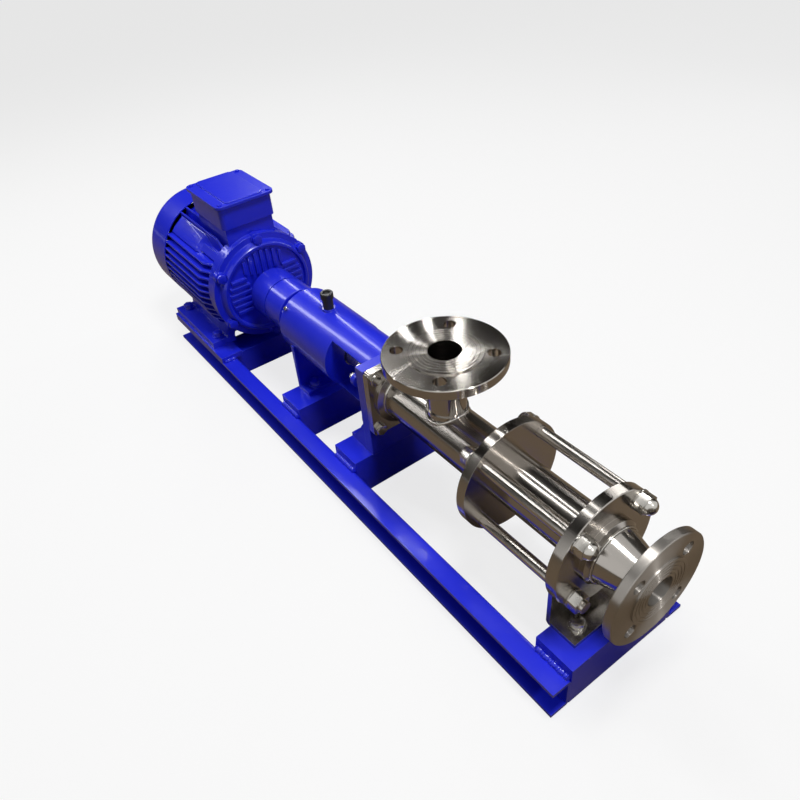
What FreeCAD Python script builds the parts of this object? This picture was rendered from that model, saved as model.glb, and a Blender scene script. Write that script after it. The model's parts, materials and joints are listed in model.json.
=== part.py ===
import FreeCAD, Part

import math
import os
import re

import Sketcher
from FreeCAD import Placement, Rotation, Vector

# Horizontal single screw pump set: a finned foot motor drives a helical rotor in a rubber stator.
# +X runs along the pump axis from the motor to the discharge flange, +Z is up, sizes are in mm.
# The origin is on the ground under the middle of the set.

# Driving dimensions. Places along the pump are counted from the suction axis, "back" towards
# the motor and "out" towards the discharge flange.
sizes = {
    # Whole set
    "axis_height": 172.0,
    "cowl_back": 822.0,
    "discharge_out": 353.0,
    # Clearances and edges shared by many pieces; the allowance is how far a cut starts outside
    # the face that it opens, or a pad inside the form that carries it
    "clearance": 0.3,
    "core_fit": 0.15,
    "packing_fit": 0.05,
    "bolt_clearance": 0.5,
    "edge_break": 1.0,
    "allowance": 1.0,
    # Base frame
    "rail_rear_back": 752.0,
    "rail_front_out": 322.0,
    "rail_outer": 119.0,
    "rail_height": 50.0,
    "rail_flange": 30.0,
    "rail_wall": 5.0,
    "rail_bend": 6.0,
    "beam_width": 58.0,
    "beam_height": 68.0,
    "beam_wall": 5.0,
    "front_beam_out": 264.0,
    "front_leg_beam_back": 179.0,
    "rear_leg_beam_back": 350.0,
    "motor_beam_back": 600.0,
    "tail_beam_back": 752.0,
    "pad_width": 42.0,
    "pad_front_back": 532.0,
    # Motor frame
    "motor_centre_height": 112.0,
    "motor_barrel_radius": 90.0,
    "motor_frame_wall": 14.0,
    "motor_fin_radius": 110.0,
    "motor_fin_thickness": 3.4,
    "motor_fin_pitch": 12.5,
    "motor_fin_shift": 3.0,
    "motor_ring_radius": 100.0,
    "motor_frame_back": 740.0,
    "motor_fin_taper_back": 582.0,
    "motor_ring_back": 560.0,
    "motor_frame_front_back": 541.0,
    "motor_foot_back": 748.0,
    "motor_foot_length": 176.0,
    "motor_foot_width": 38.0,
    "motor_foot_outer": 115.0,
    "motor_foot_thickness": 13.0,
    "motor_foot_web": 9.0,
    "motor_bolt_half_width": 95.0,
    "motor_rear_bolt_back": 730.0,
    "motor_bolt_spacing": 140.0,
    # Terminal pedestal and the slanted block on each side of it, by its angles above level
    "pedestal_height": 122.0,
    "pedestal_length": 116.0,
    "pedestal_width": 92.0,
    "box_centre_back": 603.0,
    "block_radius": 105.0,
    "block_root": 10.0,
    "block_low": 39.0,
    "block_crease": 46.0,
    "block_high": 61.0,
    "block_rear_back": 735.0,
    "block_slope_back": 628.0,
    "block_front_back": 604.0,
    "ridge_low": 42.0,
    "ridge_high": 50.0,
    # End shields
    "shield_face_back": 520.0,
    "shield_outer_radius": 101.0,
    "shield_collar_radius": 90.0,
    "shield_collar_length": 8.0,
    "shield_rim_radius": 86.0,
    "shield_rim_width": 8.0,
    "shield_recess": 7.0,
    "shield_wall": 9.0,
    "shield_seal_radius": 23.0,
    "shield_seal_height": 3.0,
    "shield_hub_radius": 34.0,
    "shield_bore": 26.0,
    "shield_bearing_depth": 11.0,
    "shield_spigot": 8.0,
    "shield_rib": 5.5,
    "shield_rib_pitch": 12.0,
    "shield_rib_inner": 30.0,
    "shield_rib_outer": 74.0,
    "shield_rib_height": 5.0,
    "shield_bolt_circle": 94.0,
    "shield_ear": 12.0,
    "shield_ear_radius": 10.0,
    "rear_shield_radius": 95.0,
    "rear_shield_reach": 14.0,
    # Fan and cowl
    "cowl_length": 82.0,
    "cowl_radius": 110.5,
    "cowl_wall": 2.0,
    "cowl_corner": 20.0,
    "cowl_slot_width": 6.0,
    "cowl_slot_length": 14.0,
    "cowl_slot_start": 30.0,
    "cowl_slot_step": 20.0,
    "fan_gap": 16.0,
    "fan_radius": 88.0,
    "fan_width": 28.0,
    "fan_disc": 4.0,
    "fan_hub_radius": 22.0,
    "fan_blade": 3.0,
    # Motor shaft, core and windings
    "motor_shaft_radius": 14.0,
    "shaft_step": 3.0,
    "shaft_shoulder": 4.0,
    "shaft_rear_gap": 14.0,
    "motor_shaft_end_back": 460.0,
    "motor_bearing_width": 15.0,
    "motor_core_radius": 48.0,
    "motor_air_gap": 0.6,
    "motor_core_length": 110.0,
    "motor_core_back": 705.0,
    "winding_length": 20.0,
    "winding_gap": 4.0,
    "winding_cover": 6.0,
    # Bearings: lip and race lie at these shares of the way out from the shaft
    "bearing_lip_share": 0.35,
    "bearing_race_share": 0.72,
    "bearing_shield": 1.5,
    # Terminal box
    "box_height": 40.0,
    "box_length": 126.0,
    "box_width": 102.0,
    "box_wall": 4.0,
    "box_corner": 9.0,
    "lid_length": 137.0,
    "lid_width": 112.0,
    "lid_thickness": 5.0,
    "lid_corner": 12.0,
    "lid_panel": 3.0,
    "lid_panel_inset": 4.0,
    "lid_panel_width": 72.0,
    "lid_screw_inset": 9.5,
    "lid_screw_radius": 4.0,
    "lid_screw_height": 2.5,
    "entry_radius": 10.0,
    "entry_wall": 4.0,
    "entry_reach": 8.0,
    "plug_fit": 0.2,
    "plug_rim": 2.0,
    "plug_head": 7.0,
    "board_length": 52.0,
    "board_width": 36.0,
    "board_thickness": 10.0,
    "post_radius": 3.0,
    "post_height": 12.0,
    "post_pitch": 16.0,
    # Coupling
    "coupling_radius": 44.0,
    "coupling_rear_back": 508.0,
    "coupling_joint_back": 452.0,
    "coupling_gap": 3.0,
    "coupling_front_back": 400.0,
    "coupling_bevel": 6.0,
    "spider_bore": 18.0,
    "spider_inset": 3.0,
    # Bearing housing
    "housing_radius": 55.0,
    "housing_wall": 13.0,
    "housing_edge": 3.0,
    "housing_rear_back": 380.0,
    "housing_solid_back": 234.0,
    "housing_flange_back": 136.0,
    "housing_face_back": 118.0,
    "window_half_height": 41.5,
    "shaft_gap": 2.0,
    "leg_half_width": 56.0,
    "leg_thickness": 8.0,
    "leg_top": 15.0,
    "rear_leg_back": 346.0,
    "leg_foot_length": 34.0,
    "leg_foot_thickness": 8.0,
    "leg_web": 10.0,
    "gusset_run": 42.0,
    "gusset_top": 56.0,
    "gusset_thickness": 6.0,
    "foot_bolt_inset": 13.0,
    "foot_bolt_half": 35.0,
    "oil_cap_back": 296.0,
    "oil_boss_height": 3.0,
    "oil_bore": 6.5,
    "oil_stem": 6.0,
    "oil_neck_radius": 8.5,
    "oil_cap_radius": 10.5,
    "oil_cap_top": 86.0,
    "oil_cap_grip": 10.0,
    "oil_cap_rim": 4.0,
    "oil_cap_dish": 3.0,
    "cover_radius": 47.0,
    "cover_thickness": 8.0,
    "cover_lip": 5.0,
    "cover_screw_circle": 41.5,
    "cover_screw_corner": 5.0,
    "cover_screw_height": 4.0,
    # Pump shaft, bearings and gland
    "drive_shaft_radius": 17.0,
    "drive_shaft_seat": 17.5,
    "drive_shaft_end": 14.0,
    "bearing_radius": 36.0,
    "bearing_width": 17.0,
    "rear_bearing_back": 368.0,
    "front_bearing_back": 258.0,
    "packing_radius": 27.0,
    "packing_inset": 6.0,
    "stuffing_back": 162.0,
    "gland_plate_back": 179.0,
    "gland_plate": 9.0,
    "gland_disc_radius": 31.0,
    "gland_ear_radius": 11.0,
    "gland_stud_half": 34.0,
    "gland_stud_radius": 4.5,
    "gland_stud_end": 12.0,
    "gland_nut_corner": 7.5,
    "gland_nut_height": 7.0,
    "shaft_head_radius": 24.0,
    "shaft_head_back": 86.0,
    "shaft_head_end_back": 48.0,
    "socket_radius": 14.0,
    "socket_depth": 34.0,
    # Suction casing
    "square_margin": 2.0,
    "square_bolt_inset": 9.0,
    "square_thickness": 12.0,
    "square_corner": 7.0,
    "casing_radius": 38.0,
    "casing_wall": 4.0,
    "weld_ring_radius": 48.5,
    "weld_ring_length": 9.0,
    "suction_height": 130.0,
    "suction_flange_radius": 82.5,
    "suction_flange_thickness": 16.0,
    "suction_raised_radius": 51.0,
    "suction_hole_circle": 62.5,
    "suction_bore": 22.0,
    "suction_neck": 27.0,
    "suction_collar": 3.0,
    "weld_leg": 4.0,
    # Round flanges
    "flange_hole": 9.0,
    "raised_face": 2.0,
    "groove_margin": 4.0,
    "groove_pitch": 5.0,
    "groove_width": 1.6,
    "groove_depth": 0.6,
    # Stator
    "stator_flange_radius": 80.0,
    "stator_flange_thickness": 15.0,
    "stator_rear_out": 111.0,
    "stator_front_out": 263.0,
    "stator_tube_radius": 35.0,
    "stator_tube_wall": 4.0,
    "stator_recess": 4.0,
    "tie_rod_half": 48.0,
    "tie_rod_radius": 8.0,
    "tie_rod_end": 5.0,
    "tie_nut_corner": 13.2,
    "tie_nut_height": 12.0,
    "tie_nut_dome": 10.8,
    "tie_washer_radius": 13.6,
    # Rotor
    "eccentricity": 4.5,
    "rotor_radius": 14.0,
    "rotor_pitch": 60.0,
    "rotor_running_gap": 0.5,
    "rotor_head_radius": 19.0,
    "rotor_head_out": 58.0,
    "rotor_start_out": 100.0,
    "rotor_end_out": 284.0,
    # Connecting rod, its two pin joints and their boots
    "joint_rear_back": 64.0,
    "joint_front_out": 76.0,
    "rod_radius": 10.0,
    "rod_taper": 4.0,
    "rod_end_radius": 12.5,
    "rod_end_reach": 13.0,
    "rod_end_bevel": 3.0,
    "joint_pin_radius": 4.0,
    "joint_pin_hole": 5.0,
    "boot_wall": 2.5,
    "boot_lap": 8.0,
    "boot_grip": 12.0,
    "boot_fold": 3.0,
    "boot_drop": 4.0,
    "boot_reach": 26.0,
    "boot_small": 12.0,
    # Discharge head
    "collar_wall": 9.0,
    "collar_bevel": 5.0,
    "collar_end_out": 290.0,
    "cone_wall": 3.0,
    "neck_wall": 7.0,
    "neck_step": 0.5,
    "neck_weld": 2.0,
    "neck_weld_length": 8.0,
    "discharge_flange_radius": 75.0,
    "discharge_flange_thickness": 14.0,
    "discharge_raised_radius": 44.0,
    "discharge_hole_circle": 55.0,
    "discharge_bore": 20.0,
    # Support foot
    "foot_half_width": 66.0,
    "foot_plate": 6.0,
    "foot_length": 46.0,
    "foot_bolt_along": 29.0,
    "foot_bolt_side": 44.0,
    # Screws
    "bolt_radius": 5.0,
    "bolt_head_corner": 9.2,
    "bolt_head_height": 7.0,
    "washer_radius": 11.0,
    "washer_thickness": 2.5,
}

# How finely the two twisted forms are sectioned: sections in one turn of the rotor, and the
# twist in degrees between two sections of the stator's bore
ROTOR_SECTIONS = 12
STATOR_SECTION_TWIST = 15

# Two places closer than this are the same place; the least cosine of two parallel runs
SAME = 0.01
PARALLEL = 0.999

# Counts: fins either side of the middle one, level and upright, of which the upper side carries
# only those beyond the terminal box; slots in the cowl's rings; fan blades; packing rings; grooves
LEVEL_FINS = 5
UPRIGHT_FINS = 4
FINS_UNDER_BOX = 2
SHIELD_RIBS = 3
COWL_SLOTS = (10, 16, 22)
FAN_BLADES = 7
PACKING_RINGS = 4
SUCTION_GROOVES = 5
DISCHARGE_GROOVES = 4

# Sizes that follow from others
SUCTION = "(cowl_back - discharge_out) / 2"
MOTOR_BORE = "(motor_barrel_radius - motor_frame_wall)"
BOLT_HOLE = "(bolt_radius + bolt_clearance)"
TIE_ROD_HOLE = "(tie_rod_radius + bolt_clearance)"
LANTERN_BORE = "(housing_radius - housing_wall)"
SQUARE_HALF = "(housing_radius + square_margin)"
SQUARE_BOLT = "(housing_radius - square_bolt_inset)"
STATOR_BORE = "(stator_tube_radius - stator_tube_wall)"
FOOT_BOLT_BACKS = (
    "(rear_leg_back - leg_foot_length + foot_bolt_inset)",
    "(housing_flange_back + gusset_run - foot_bolt_inset)",
)
SIXTHS = (30, 90, 150, 210, 270, 330)
SIDES = (-1, 1)
CORNERS = [(side, up) for side in SIDES for up in SIDES]
ALONG_X = Rotation(Vector(0, 1, 0), 90)
UPRIGHT = Rotation()

document = FreeCAD.newDocument("single_screw_pump")
sheet = document.addObject("Spreadsheet::Sheet", "Sizes")
for row, (name, size) in enumerate(sizes.items(), start=1):
    sheet.set(f"A{row}", name)
    sheet.set(f"B{row}", str(size))
    sheet.setAlias(f"B{row}", name)
document.recompute()

pieces = []


def bound(formula):
    """A formula in words becomes an expression on the sheet."""
    return re.sub(r"[a-z_]+", lambda word: f"Sizes.{word[0]}" if word[0] in sizes else word[0], str(formula))


def value(formula):
    return float(sheet.evalExpression(bound(formula).replace("Sizes.", "")))


def place(piece, back="0", y="0", height="axis_height"):
    """Places a piece by its distance behind the suction axis, across it, and above the ground."""
    piece.setExpression("Placement.Base.x", bound(f"{SUCTION} - ({back})"))
    piece.setExpression("Placement.Base.y", bound(y))
    piece.setExpression("Placement.Base.z", bound(height))


def new_body(label, back="0", y="0", height="axis_height"):
    body = document.addObject("PartDesign::Body", label)
    body.Label = label
    body.AllowCompound = True
    place(body, back, y, height)
    pieces.append(body)
    return body


def sketch_on(body, plane, offset="0"):
    """A sketch on one of the body's own origin planes, shifted along the plane's normal."""
    sketch = body.newObject("Sketcher::SketchObject", f"{body.Label}_{plane}")
    support = next(item for item in body.Origin.OriginFeatures if item.Role == f"{plane}_Plane")
    sketch.AttachmentSupport = (support, [""])
    sketch.MapMode = "FlatFace"
    sketch.setExpression("AttachmentOffset.Base.z", bound(offset))
    return sketch


def tie(sketch, kind, geometry, point, formula):
    number = sketch.addConstraint(Sketcher.Constraint(kind, -1, 1, geometry, point, value(formula)))
    sketch.setExpression(f"Constraints[{number}]", bound(formula))


def outline(sketch, points):
    """A closed outline of straight edges whose corners are tied to the sheet."""
    first = sketch.GeometryCount
    corners = [Vector(value(across), value(up), 0) for across, up in points]
    for number, corner in enumerate(corners):
        sketch.addGeometry(Part.LineSegment(corner, corners[(number + 1) % len(corners)]))
    for number, (across, up) in enumerate(points):
        following = first + (number + 1) % len(points)
        sketch.addConstraint(Sketcher.Constraint("Coincident", first + number, 2, following, 1))
        tie(sketch, "DistanceX", first + number, 1, across)
        tie(sketch, "DistanceY", first + number, 1, up)
    return sketch


def circle(sketch, radius, across="0", up="0"):
    centre = Vector(value(across), value(up), 0)
    number = sketch.addGeometry(Part.Circle(centre, Vector(0, 0, 1), value(radius)))
    limit = sketch.addConstraint(Sketcher.Constraint("Radius", number, value(radius)))
    sketch.setExpression(f"Constraints[{limit}]", bound(radius))
    tie(sketch, "DistanceX", number, 3, across)
    tie(sketch, "DistanceY", number, 3, up)
    return sketch


def circles(sketch, radius, spots):
    for across, up in spots:
        circle(sketch, radius, across, up)
    return sketch


def rectangle(sketch, left, right, low, high):
    return outline(sketch, [(left, low), (right, low), (right, high), (left, high)])


def centred(sketch, length, width):
    return rectangle(sketch, f"-{length} / 2", f"{length} / 2", f"-{width} / 2", f"{width} / 2")


def pad(body, sketch, length, both_sides=False):
    feature = body.newObject("PartDesign::Pad", f"{body.Label}_pad")
    feature.Profile = sketch
    feature.SideType = "Symmetric" if both_sides else "One side"
    feature.setExpression("Length", bound(length))
    return feature


def cut_through(body, sketch):
    """Cuts both ways from the sketch through the whole body."""
    feature = body.newObject("PartDesign::Pocket", f"{body.Label}_cut")
    feature.Profile = sketch
    feature.SideType = "Symmetric"
    feature.Type = "ThroughAll"
    return feature


def cut(body, sketch, depth):
    """Cuts a stated depth along the sketch's own normal."""
    feature = body.newObject("PartDesign::Pocket", f"{body.Label}_cut")
    feature.Profile = sketch
    feature.Reversed = True
    feature.setExpression("Length", bound(depth))
    return feature


def swing(kind, body, points, plane, axis):
    sketch = outline(sketch_on(body, plane), points)
    feature = body.newObject(kind, f"{body.Label}_turned")
    feature.Profile = sketch
    feature.ReferenceAxis = (sketch, [axis])
    feature.Angle = 360
    return feature


def turn(body, points, plane="XZ", axis="H_Axis"):
    """A turned piece: its half section swung round an axis of its sketch."""
    return swing("PartDesign::Revolution", body, points, plane, axis)


def turn_off(body, points):
    """Turns material off, all round the body's own X axis."""
    return swing("PartDesign::Groove", body, points, "XZ", "H_Axis")


def turned_ring(label, back, length, outer, inner):
    body = new_body(label, back)
    turn(body, [("0", inner), (length, inner), (length, outer), ("0", outer)])


def ring_of(body, feature, count, axis_sketch):
    pattern = body.newObject("PartDesign::PolarPattern", f"{body.Label}_ring")
    pattern.Originals = [feature]
    pattern.Axis = (axis_sketch, ["N_Axis"])
    pattern.Angle = 360
    pattern.Occurrences = count
    body.Tip = pattern


def round_edges(body, radius, wanted):
    """Rounds the edges of the body that the test picks out."""
    document.recompute()
    base = body.Tip
    names = [f"Edge{number}" for number, edge in enumerate(base.Shape.Edges, start=1) if wanted(edge)]
    feature = body.newObject("PartDesign::Fillet", f"{body.Label}_rounded")
    feature.Base = (base, names)
    feature.setExpression("Radius", bound(radius))


def near(first, second):
    return abs(first - second) < SAME


def runs_along(edge, direction):
    ends = edge.Vertexes
    if len(ends) != 2:
        return False
    run = ends[1].Point - ends[0].Point
    return run.Length > 0 and abs(run.normalize().dot(direction)) > PARALLEL


def rim_at(along, radius):
    """Picks the round edge about the X axis at one place and radius."""
    return lambda edge: (
        near(edge.BoundBox.XMin, value(along))
        and near(edge.BoundBox.XMax, value(along))
        and near(edge.BoundBox.ZMax, value(radius))
    )


def primitive(kind, name, rotation, where, **dimensions):
    piece = document.addObject(kind, name)
    piece.Placement = Placement(Vector(), rotation)
    place(piece, *where)
    for dimension, formula in dimensions.items():
        piece.setExpression(dimension, bound(formula))
    return piece


def joined(label, solids):
    group = document.addObject("Part::MultiFuse", label)
    group.Label = label
    group.Shapes = solids
    return group


def stacks(label, rotation, spots, sections):
    """Equal screws, nuts or rods; each section is a hexagon, rod or dome along the screw."""
    solids = []
    for spot, (back, y, height) in enumerate(spots):
        for number, (kind, radius, start, length) in enumerate(sections):
            along = f"({back}) - ({start})" if rotation == ALONG_X else back
            up = height if rotation == ALONG_X else f"({height}) + ({start})"
            name = f"{label}_{spot}_{number}"
            where = (along, y, up)
            if kind == "hexagon":
                part = primitive("Part::Prism", name, rotation, where, Circumradius=radius, Height=length)
                part.Polygon = 6
            elif kind == "dome":
                part = primitive("Part::Sphere", name, rotation, where, Radius=radius)
                part.Angle1 = 0
            else:
                part = primitive("Part::Cylinder", name, rotation, where, Radius=radius, Height=length)
            solids.append(part)
    return solids


def fasteners(label, rotation, spots, sections):
    pieces.append(joined(label, stacks(label, rotation, spots, sections)))


def screws_down(label, spots, grip):
    """Hexagon screws on washers, standing upright, with their shanks in what they hold down."""
    fasteners(label, UPRIGHT, spots, [
        ("rod", "washer_radius", "0", "washer_thickness"),
        ("hexagon", "bolt_head_corner", "washer_thickness", "bolt_head_height"),
        ("rod", "bolt_radius", f"-{grip}", grip),
    ])


def diagonals(circle_radius):
    """The four places at 45 degrees on a bolt circle."""
    spot = f"{circle_radius} * cos(45)"
    return [(f"{side} * {spot}", f"{up} * {spot}") for side, up in CORNERS]


def flange_face(face, raised, count):
    """Corners of a raised face with turned sealing grooves, from its outer edge inwards."""
    corners = [(raised, f"{face} - raised_face"), (raised, face)]
    for number in range(count):
        outer = f"({raised} - groove_margin - {number} * groove_pitch)"
        inner = f"({outer} - groove_width)"
        floor = f"{face} - groove_depth"
        corners += [(outer, face), (outer, floor), (inner, floor), (inner, face)]
    return corners


# Base frame

def rail(label, side):
    """An outward facing channel; side is -1 for the near rail and 1 for the far one."""
    body = new_body(label, "rail_rear_back", f"{side} * (rail_outer - rail_flange)", "0")
    sketch = outline(sketch_on(body, "YZ"), [
        ("0", "0"),
        (f"{side} * rail_flange", "0"),
        (f"{side} * rail_flange", "rail_wall"),
        (f"{side} * rail_wall", "rail_wall"),
        (f"{side} * rail_wall", "rail_height - rail_wall"),
        (f"{side} * rail_flange", "rail_height - rail_wall"),
        (f"{side} * rail_flange", "rail_height"),
        ("0", "rail_height"),
    ])
    pad(body, sketch, "rail_rear_back + rail_front_out")
    round_edges(body, "rail_bend", lambda edge: (
        runs_along(edge, Vector(1, 0, 0)) and near(edge.Vertexes[0].Y, 0)
    ))


def beam(label, back, height):
    """A closed box beam between the webs of the two rails."""
    body = new_body(label, back, "0", "0")
    half = "(rail_outer - rail_flange)"
    outside = rectangle(sketch_on(body, "XY"), "0", "beam_width", f"-{half}", half)
    pad(body, outside, height)
    inner = f"({half} - beam_wall)"
    hollow = rectangle(sketch_on(body, "XY"), "beam_wall", "beam_width - beam_wall", f"-{inner}", inner)
    cut(body, hollow, f"{height} - beam_wall")
    bottom = rectangle(sketch_on(body, "XY"), "0", "beam_width", f"-{half}", half)
    pad(body, bottom, "beam_wall")


def motor_pad(label, side):
    body = new_body(label, "rail_rear_back", "0", "rail_height")
    outer = f"{side} * rail_outer"
    inner = f"{side} * (rail_outer - pad_width)"
    sketch = rectangle(sketch_on(body, "XY"), "0", "rail_rear_back - pad_front_back", outer, inner)
    pad(body, sketch, "axis_height - motor_centre_height - rail_height")


def base_frame():
    rail("rail_near", -1)
    rail("rail_far", 1)
    beam("beam_front", "-front_beam_out", "beam_height")
    beam("beam_front_leg", "front_leg_beam_back", "beam_height")
    beam("beam_rear_leg", "rear_leg_beam_back", "beam_height")
    beam("beam_motor", "motor_beam_back", "rail_height")
    beam("beam_tail", "tail_beam_back", "rail_height")
    motor_pad("motor_pad_near", -1)
    motor_pad("motor_pad_far", 1)


# Motor

def frame_at(back):
    """A place along the motor frame, counted from its rear face."""
    return f"(motor_frame_back - {back})"


def raised_sector(body, side, radius, angles, start, end):
    """A flat sided block on the barrel, with a corner at each angle above level, between two places."""
    root = "(motor_barrel_radius - block_root)"
    arc = [(radius, angle) for angle in angles] + [(root, angles[-1]), (root, angles[0])]
    corners = [(f"{side} * {reach} * cos({angle})", f"{reach} * sin({angle})") for reach, angle in arc]
    pad(body, outline(sketch_on(body, "YZ", frame_at(start)), corners), f"{start} - {end}")


def motor_frame():
    body = new_body("motor_frame", "motor_frame_back")
    length = frame_at("motor_frame_front_back")
    ring = frame_at("motor_ring_back")
    pad(body, circle(sketch_on(body, "YZ"), "motor_barrel_radius"), length)
    block_angles = ("block_low", "block_crease", "block_high")
    for side in SIDES:
        raised_sector(body, side, "block_radius", block_angles, "block_rear_back", "block_front_back")
    turn_off(body, [
        (frame_at("block_slope_back"), "block_radius"),
        (frame_at("block_front_back"), "motor_barrel_radius"),
        (frame_at("block_front_back"), "block_radius + allowance"),
        (frame_at("block_slope_back"), "block_radius + allowance"),
    ])
    for side in SIDES:
        ridge = ("ridge_low", "ridge_high")
        raised_sector(body, side, "motor_ring_radius", ridge, "block_slope_back", "motor_frame_front_back")
    pad(body, circle(sketch_on(body, "YZ", ring), "motor_ring_radius"), f"{length} - {ring}")
    fins = sketch_on(body, "YZ")
    for number in range(-LEVEL_FINS, LEVEL_FINS + 1):
        top = f"({number} * motor_fin_pitch)"
        far_edge = f"({top} - motor_fin_thickness)" if number <= 0 else top
        reach = f"sqrt(motor_fin_radius ^ 2 - {far_edge} ^ 2)"
        rectangle(fins, f"-{reach}", reach, f"{top} - motor_fin_thickness", top)
    pad(body, fins, ring)
    upright_fins = sketch_on(body, "YZ")
    half = "motor_fin_thickness / 2"
    root = "motor_barrel_radius / 2"
    for number in range(-UPRIGHT_FINS, UPRIGHT_FINS + 1):
        middle = f"({number} * motor_fin_pitch)"
        if abs(number) > FINS_UNDER_BOX:
            side = math.copysign(1, number)
            shifted = f"({middle} + {side} * motor_fin_shift)"
            reach = f"sqrt(motor_fin_radius ^ 2 - ({side} * {shifted} + {half}) ^ 2)"
            rectangle(upright_fins, f"{shifted} - {half}", f"{shifted} + {half}", root, reach)
        reach = f"sqrt(motor_fin_radius ^ 2 - ({abs(number)} * motor_fin_pitch + {half}) ^ 2)"
        rectangle(upright_fins, f"{middle} - {half}", f"{middle} + {half}", f"-{reach}", f"-{root}")
    pad(body, upright_fins, ring)
    turn_off(body, [
        (frame_at("motor_fin_taper_back"), "motor_fin_radius"),
        (ring, "motor_ring_radius"),
        (ring, "motor_fin_radius + allowance"),
        (frame_at("motor_fin_taper_back"), "motor_fin_radius + allowance"),
    ])
    middle = frame_at("box_centre_back")
    pedestal = rectangle(
        sketch_on(body, "XY"),
        f"{middle} - pedestal_length / 2",
        f"{middle} + pedestal_length / 2",
        "-pedestal_width / 2",
        "pedestal_width / 2",
    )
    pad(body, pedestal, "pedestal_height")
    for side in SIDES:
        motor_foot(body, side)
    cut_through(body, circle(sketch_on(body, "YZ"), MOTOR_BORE))
    holes = sketch_on(body, "XY", "-motor_centre_height - allowance")
    for back in ("motor_rear_bolt_back", "(motor_rear_bolt_back - motor_bolt_spacing)"):
        circles(holes, BOLT_HOLE, [(frame_at(back), f"{side} * motor_bolt_half_width") for side in SIDES])
    cut(body, holes, "motor_foot_thickness + 2 * allowance")


def motor_foot(body, side):
    """A sole and the upright web that joins it to the barrel."""
    foot_top = "-motor_centre_height + motor_foot_thickness"
    outer = f"{side} * motor_foot_outer"
    inner = f"{side} * (motor_foot_outer - motor_foot_width)"
    start = frame_at("motor_foot_back")
    sole = rectangle(sketch_on(body, "YZ", start), inner, outer, "-motor_centre_height", foot_top)
    pad(body, sole, "motor_foot_length")
    chord = "motor_barrel_radius * cos(30)"
    web = outline(sketch_on(body, "YZ"), [
        (inner, "-motor_centre_height"),
        (f"{inner} + {side} * motor_foot_web / 2", foot_top),
        (f"{side} * ({chord} - motor_foot_web / 2)", "-motor_barrel_radius / 2"),
        (f"{side} * ({chord} - 3 * motor_foot_web)", "-motor_barrel_radius / 2"),
        (f"{inner} - {side} * motor_foot_web", foot_top),
        (f"{inner} - {side} * motor_foot_web", "-motor_centre_height"),
    ])
    pad(body, web, f"{start} + motor_foot_length")


def drive_end_shield():
    """A disc with a raised rim, a ribbed dish, a bearing hub inside and six bolted ears."""
    body = new_body("drive_end_shield", "shield_face_back")
    joint = "-(motor_frame_front_back - shield_face_back)"
    collar = f"{joint} + shield_collar_length"
    rim_inner = "(shield_rim_radius - shield_rim_width)"
    floor = "-shield_recess"
    inside = "-(shield_recess + shield_wall)"
    bearing = "-shield_bearing_depth"
    turn(body, [
        (f"{joint} - shield_spigot", f"{MOTOR_BORE} - shield_spigot"),
        (f"{joint} - shield_spigot", MOTOR_BORE),
        (joint, MOTOR_BORE),
        (joint, "shield_outer_radius"),
        (collar, "shield_outer_radius"),
        (f"{collar} + edge_break", "shield_collar_radius"),
        ("-2 * edge_break", "shield_rim_radius"),
        ("0", "shield_rim_radius - 2 * edge_break"),
        ("0", f"{rim_inner} + 2 * edge_break"),
        (floor, rim_inner),
        (floor, "shield_seal_radius"),
        (f"{floor} + shield_seal_height", "shield_seal_radius - edge_break"),
        (f"{floor} + shield_seal_height", "motor_shaft_radius + shaft_gap"),
        (bearing, "motor_shaft_radius + shaft_gap"),
        (bearing, "shield_bore"),
        (f"{bearing} - motor_bearing_width", "shield_bore"),
        (f"{bearing} - motor_bearing_width", "shield_hub_radius"),
        (inside, "shield_hub_radius"),
        (inside, f"{MOTOR_BORE} - shield_spigot"),
    ])
    ribs = sketch_on(body, "YZ", f"{floor} - allowance")
    half = "shield_rib / 2"
    for number in range(-SHIELD_RIBS, SHIELD_RIBS + 1):
        level = f"({number} * shield_rib_pitch)"
        start, end = rib_ends(abs(number))
        rectangle(ribs, f"{level} - {half}", f"{level} + {half}", start, end)
    for number in range(-SHIELD_RIBS, SHIELD_RIBS):
        level = f"(({number} + 0.5) * shield_rib_pitch)"
        start, end = rib_ends(abs(number + 0.5))
        rectangle(ribs, f"-{end}", f"-{start}", f"{level} - {half}", f"{level} + {half}")
        rectangle(ribs, start, end, f"{level} - {half}", f"{level} + {half}")
    pad(body, ribs, "shield_rib_height + allowance")
    spots = [
        (f"shield_bolt_circle * cos({angle})", f"shield_bolt_circle * sin({angle})")
        for angle in SIXTHS
    ]
    pad(body, circles(sketch_on(body, "YZ", joint), "shield_ear_radius", spots), "shield_ear")
    seats = circles(sketch_on(body, "YZ", f"{joint} + shield_ear"), "shield_ear_radius", spots)
    cut(body, seats, f"-({joint})")


def rib_ends(steps):
    """Where a rib starts and ends along its run, for its distance from the middle in rib pitches."""
    level = f"{steps} * shield_rib_pitch"
    start = f"sqrt(shield_rib_inner ^ 2 + ({level}) ^ 2 / 2)"
    end = f"sqrt(shield_rib_outer ^ 2 - ({level} + shield_rib / 2) ^ 2)"
    return start, end


def rear_end_shield():
    body = new_body("rear_end_shield", "motor_frame_back")
    pocket_end = "(motor_bearing_width - rear_shield_reach)"
    turn(body, [
        ("-rear_shield_reach", "shield_bore"),
        ("-rear_shield_reach", "shield_hub_radius"),
        ("-shield_wall", "shield_hub_radius"),
        ("-shield_wall", "rear_shield_radius"),
        ("0", "rear_shield_radius"),
        ("0", MOTOR_BORE),
        ("shield_spigot", MOTOR_BORE),
        ("shield_spigot", f"{MOTOR_BORE} - shield_spigot"),
        ("0", f"{MOTOR_BORE} - shield_spigot"),
        ("0", "shield_hub_radius"),
        (pocket_end, "shield_hub_radius"),
        (pocket_end, "shield_bore"),
    ])


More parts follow.
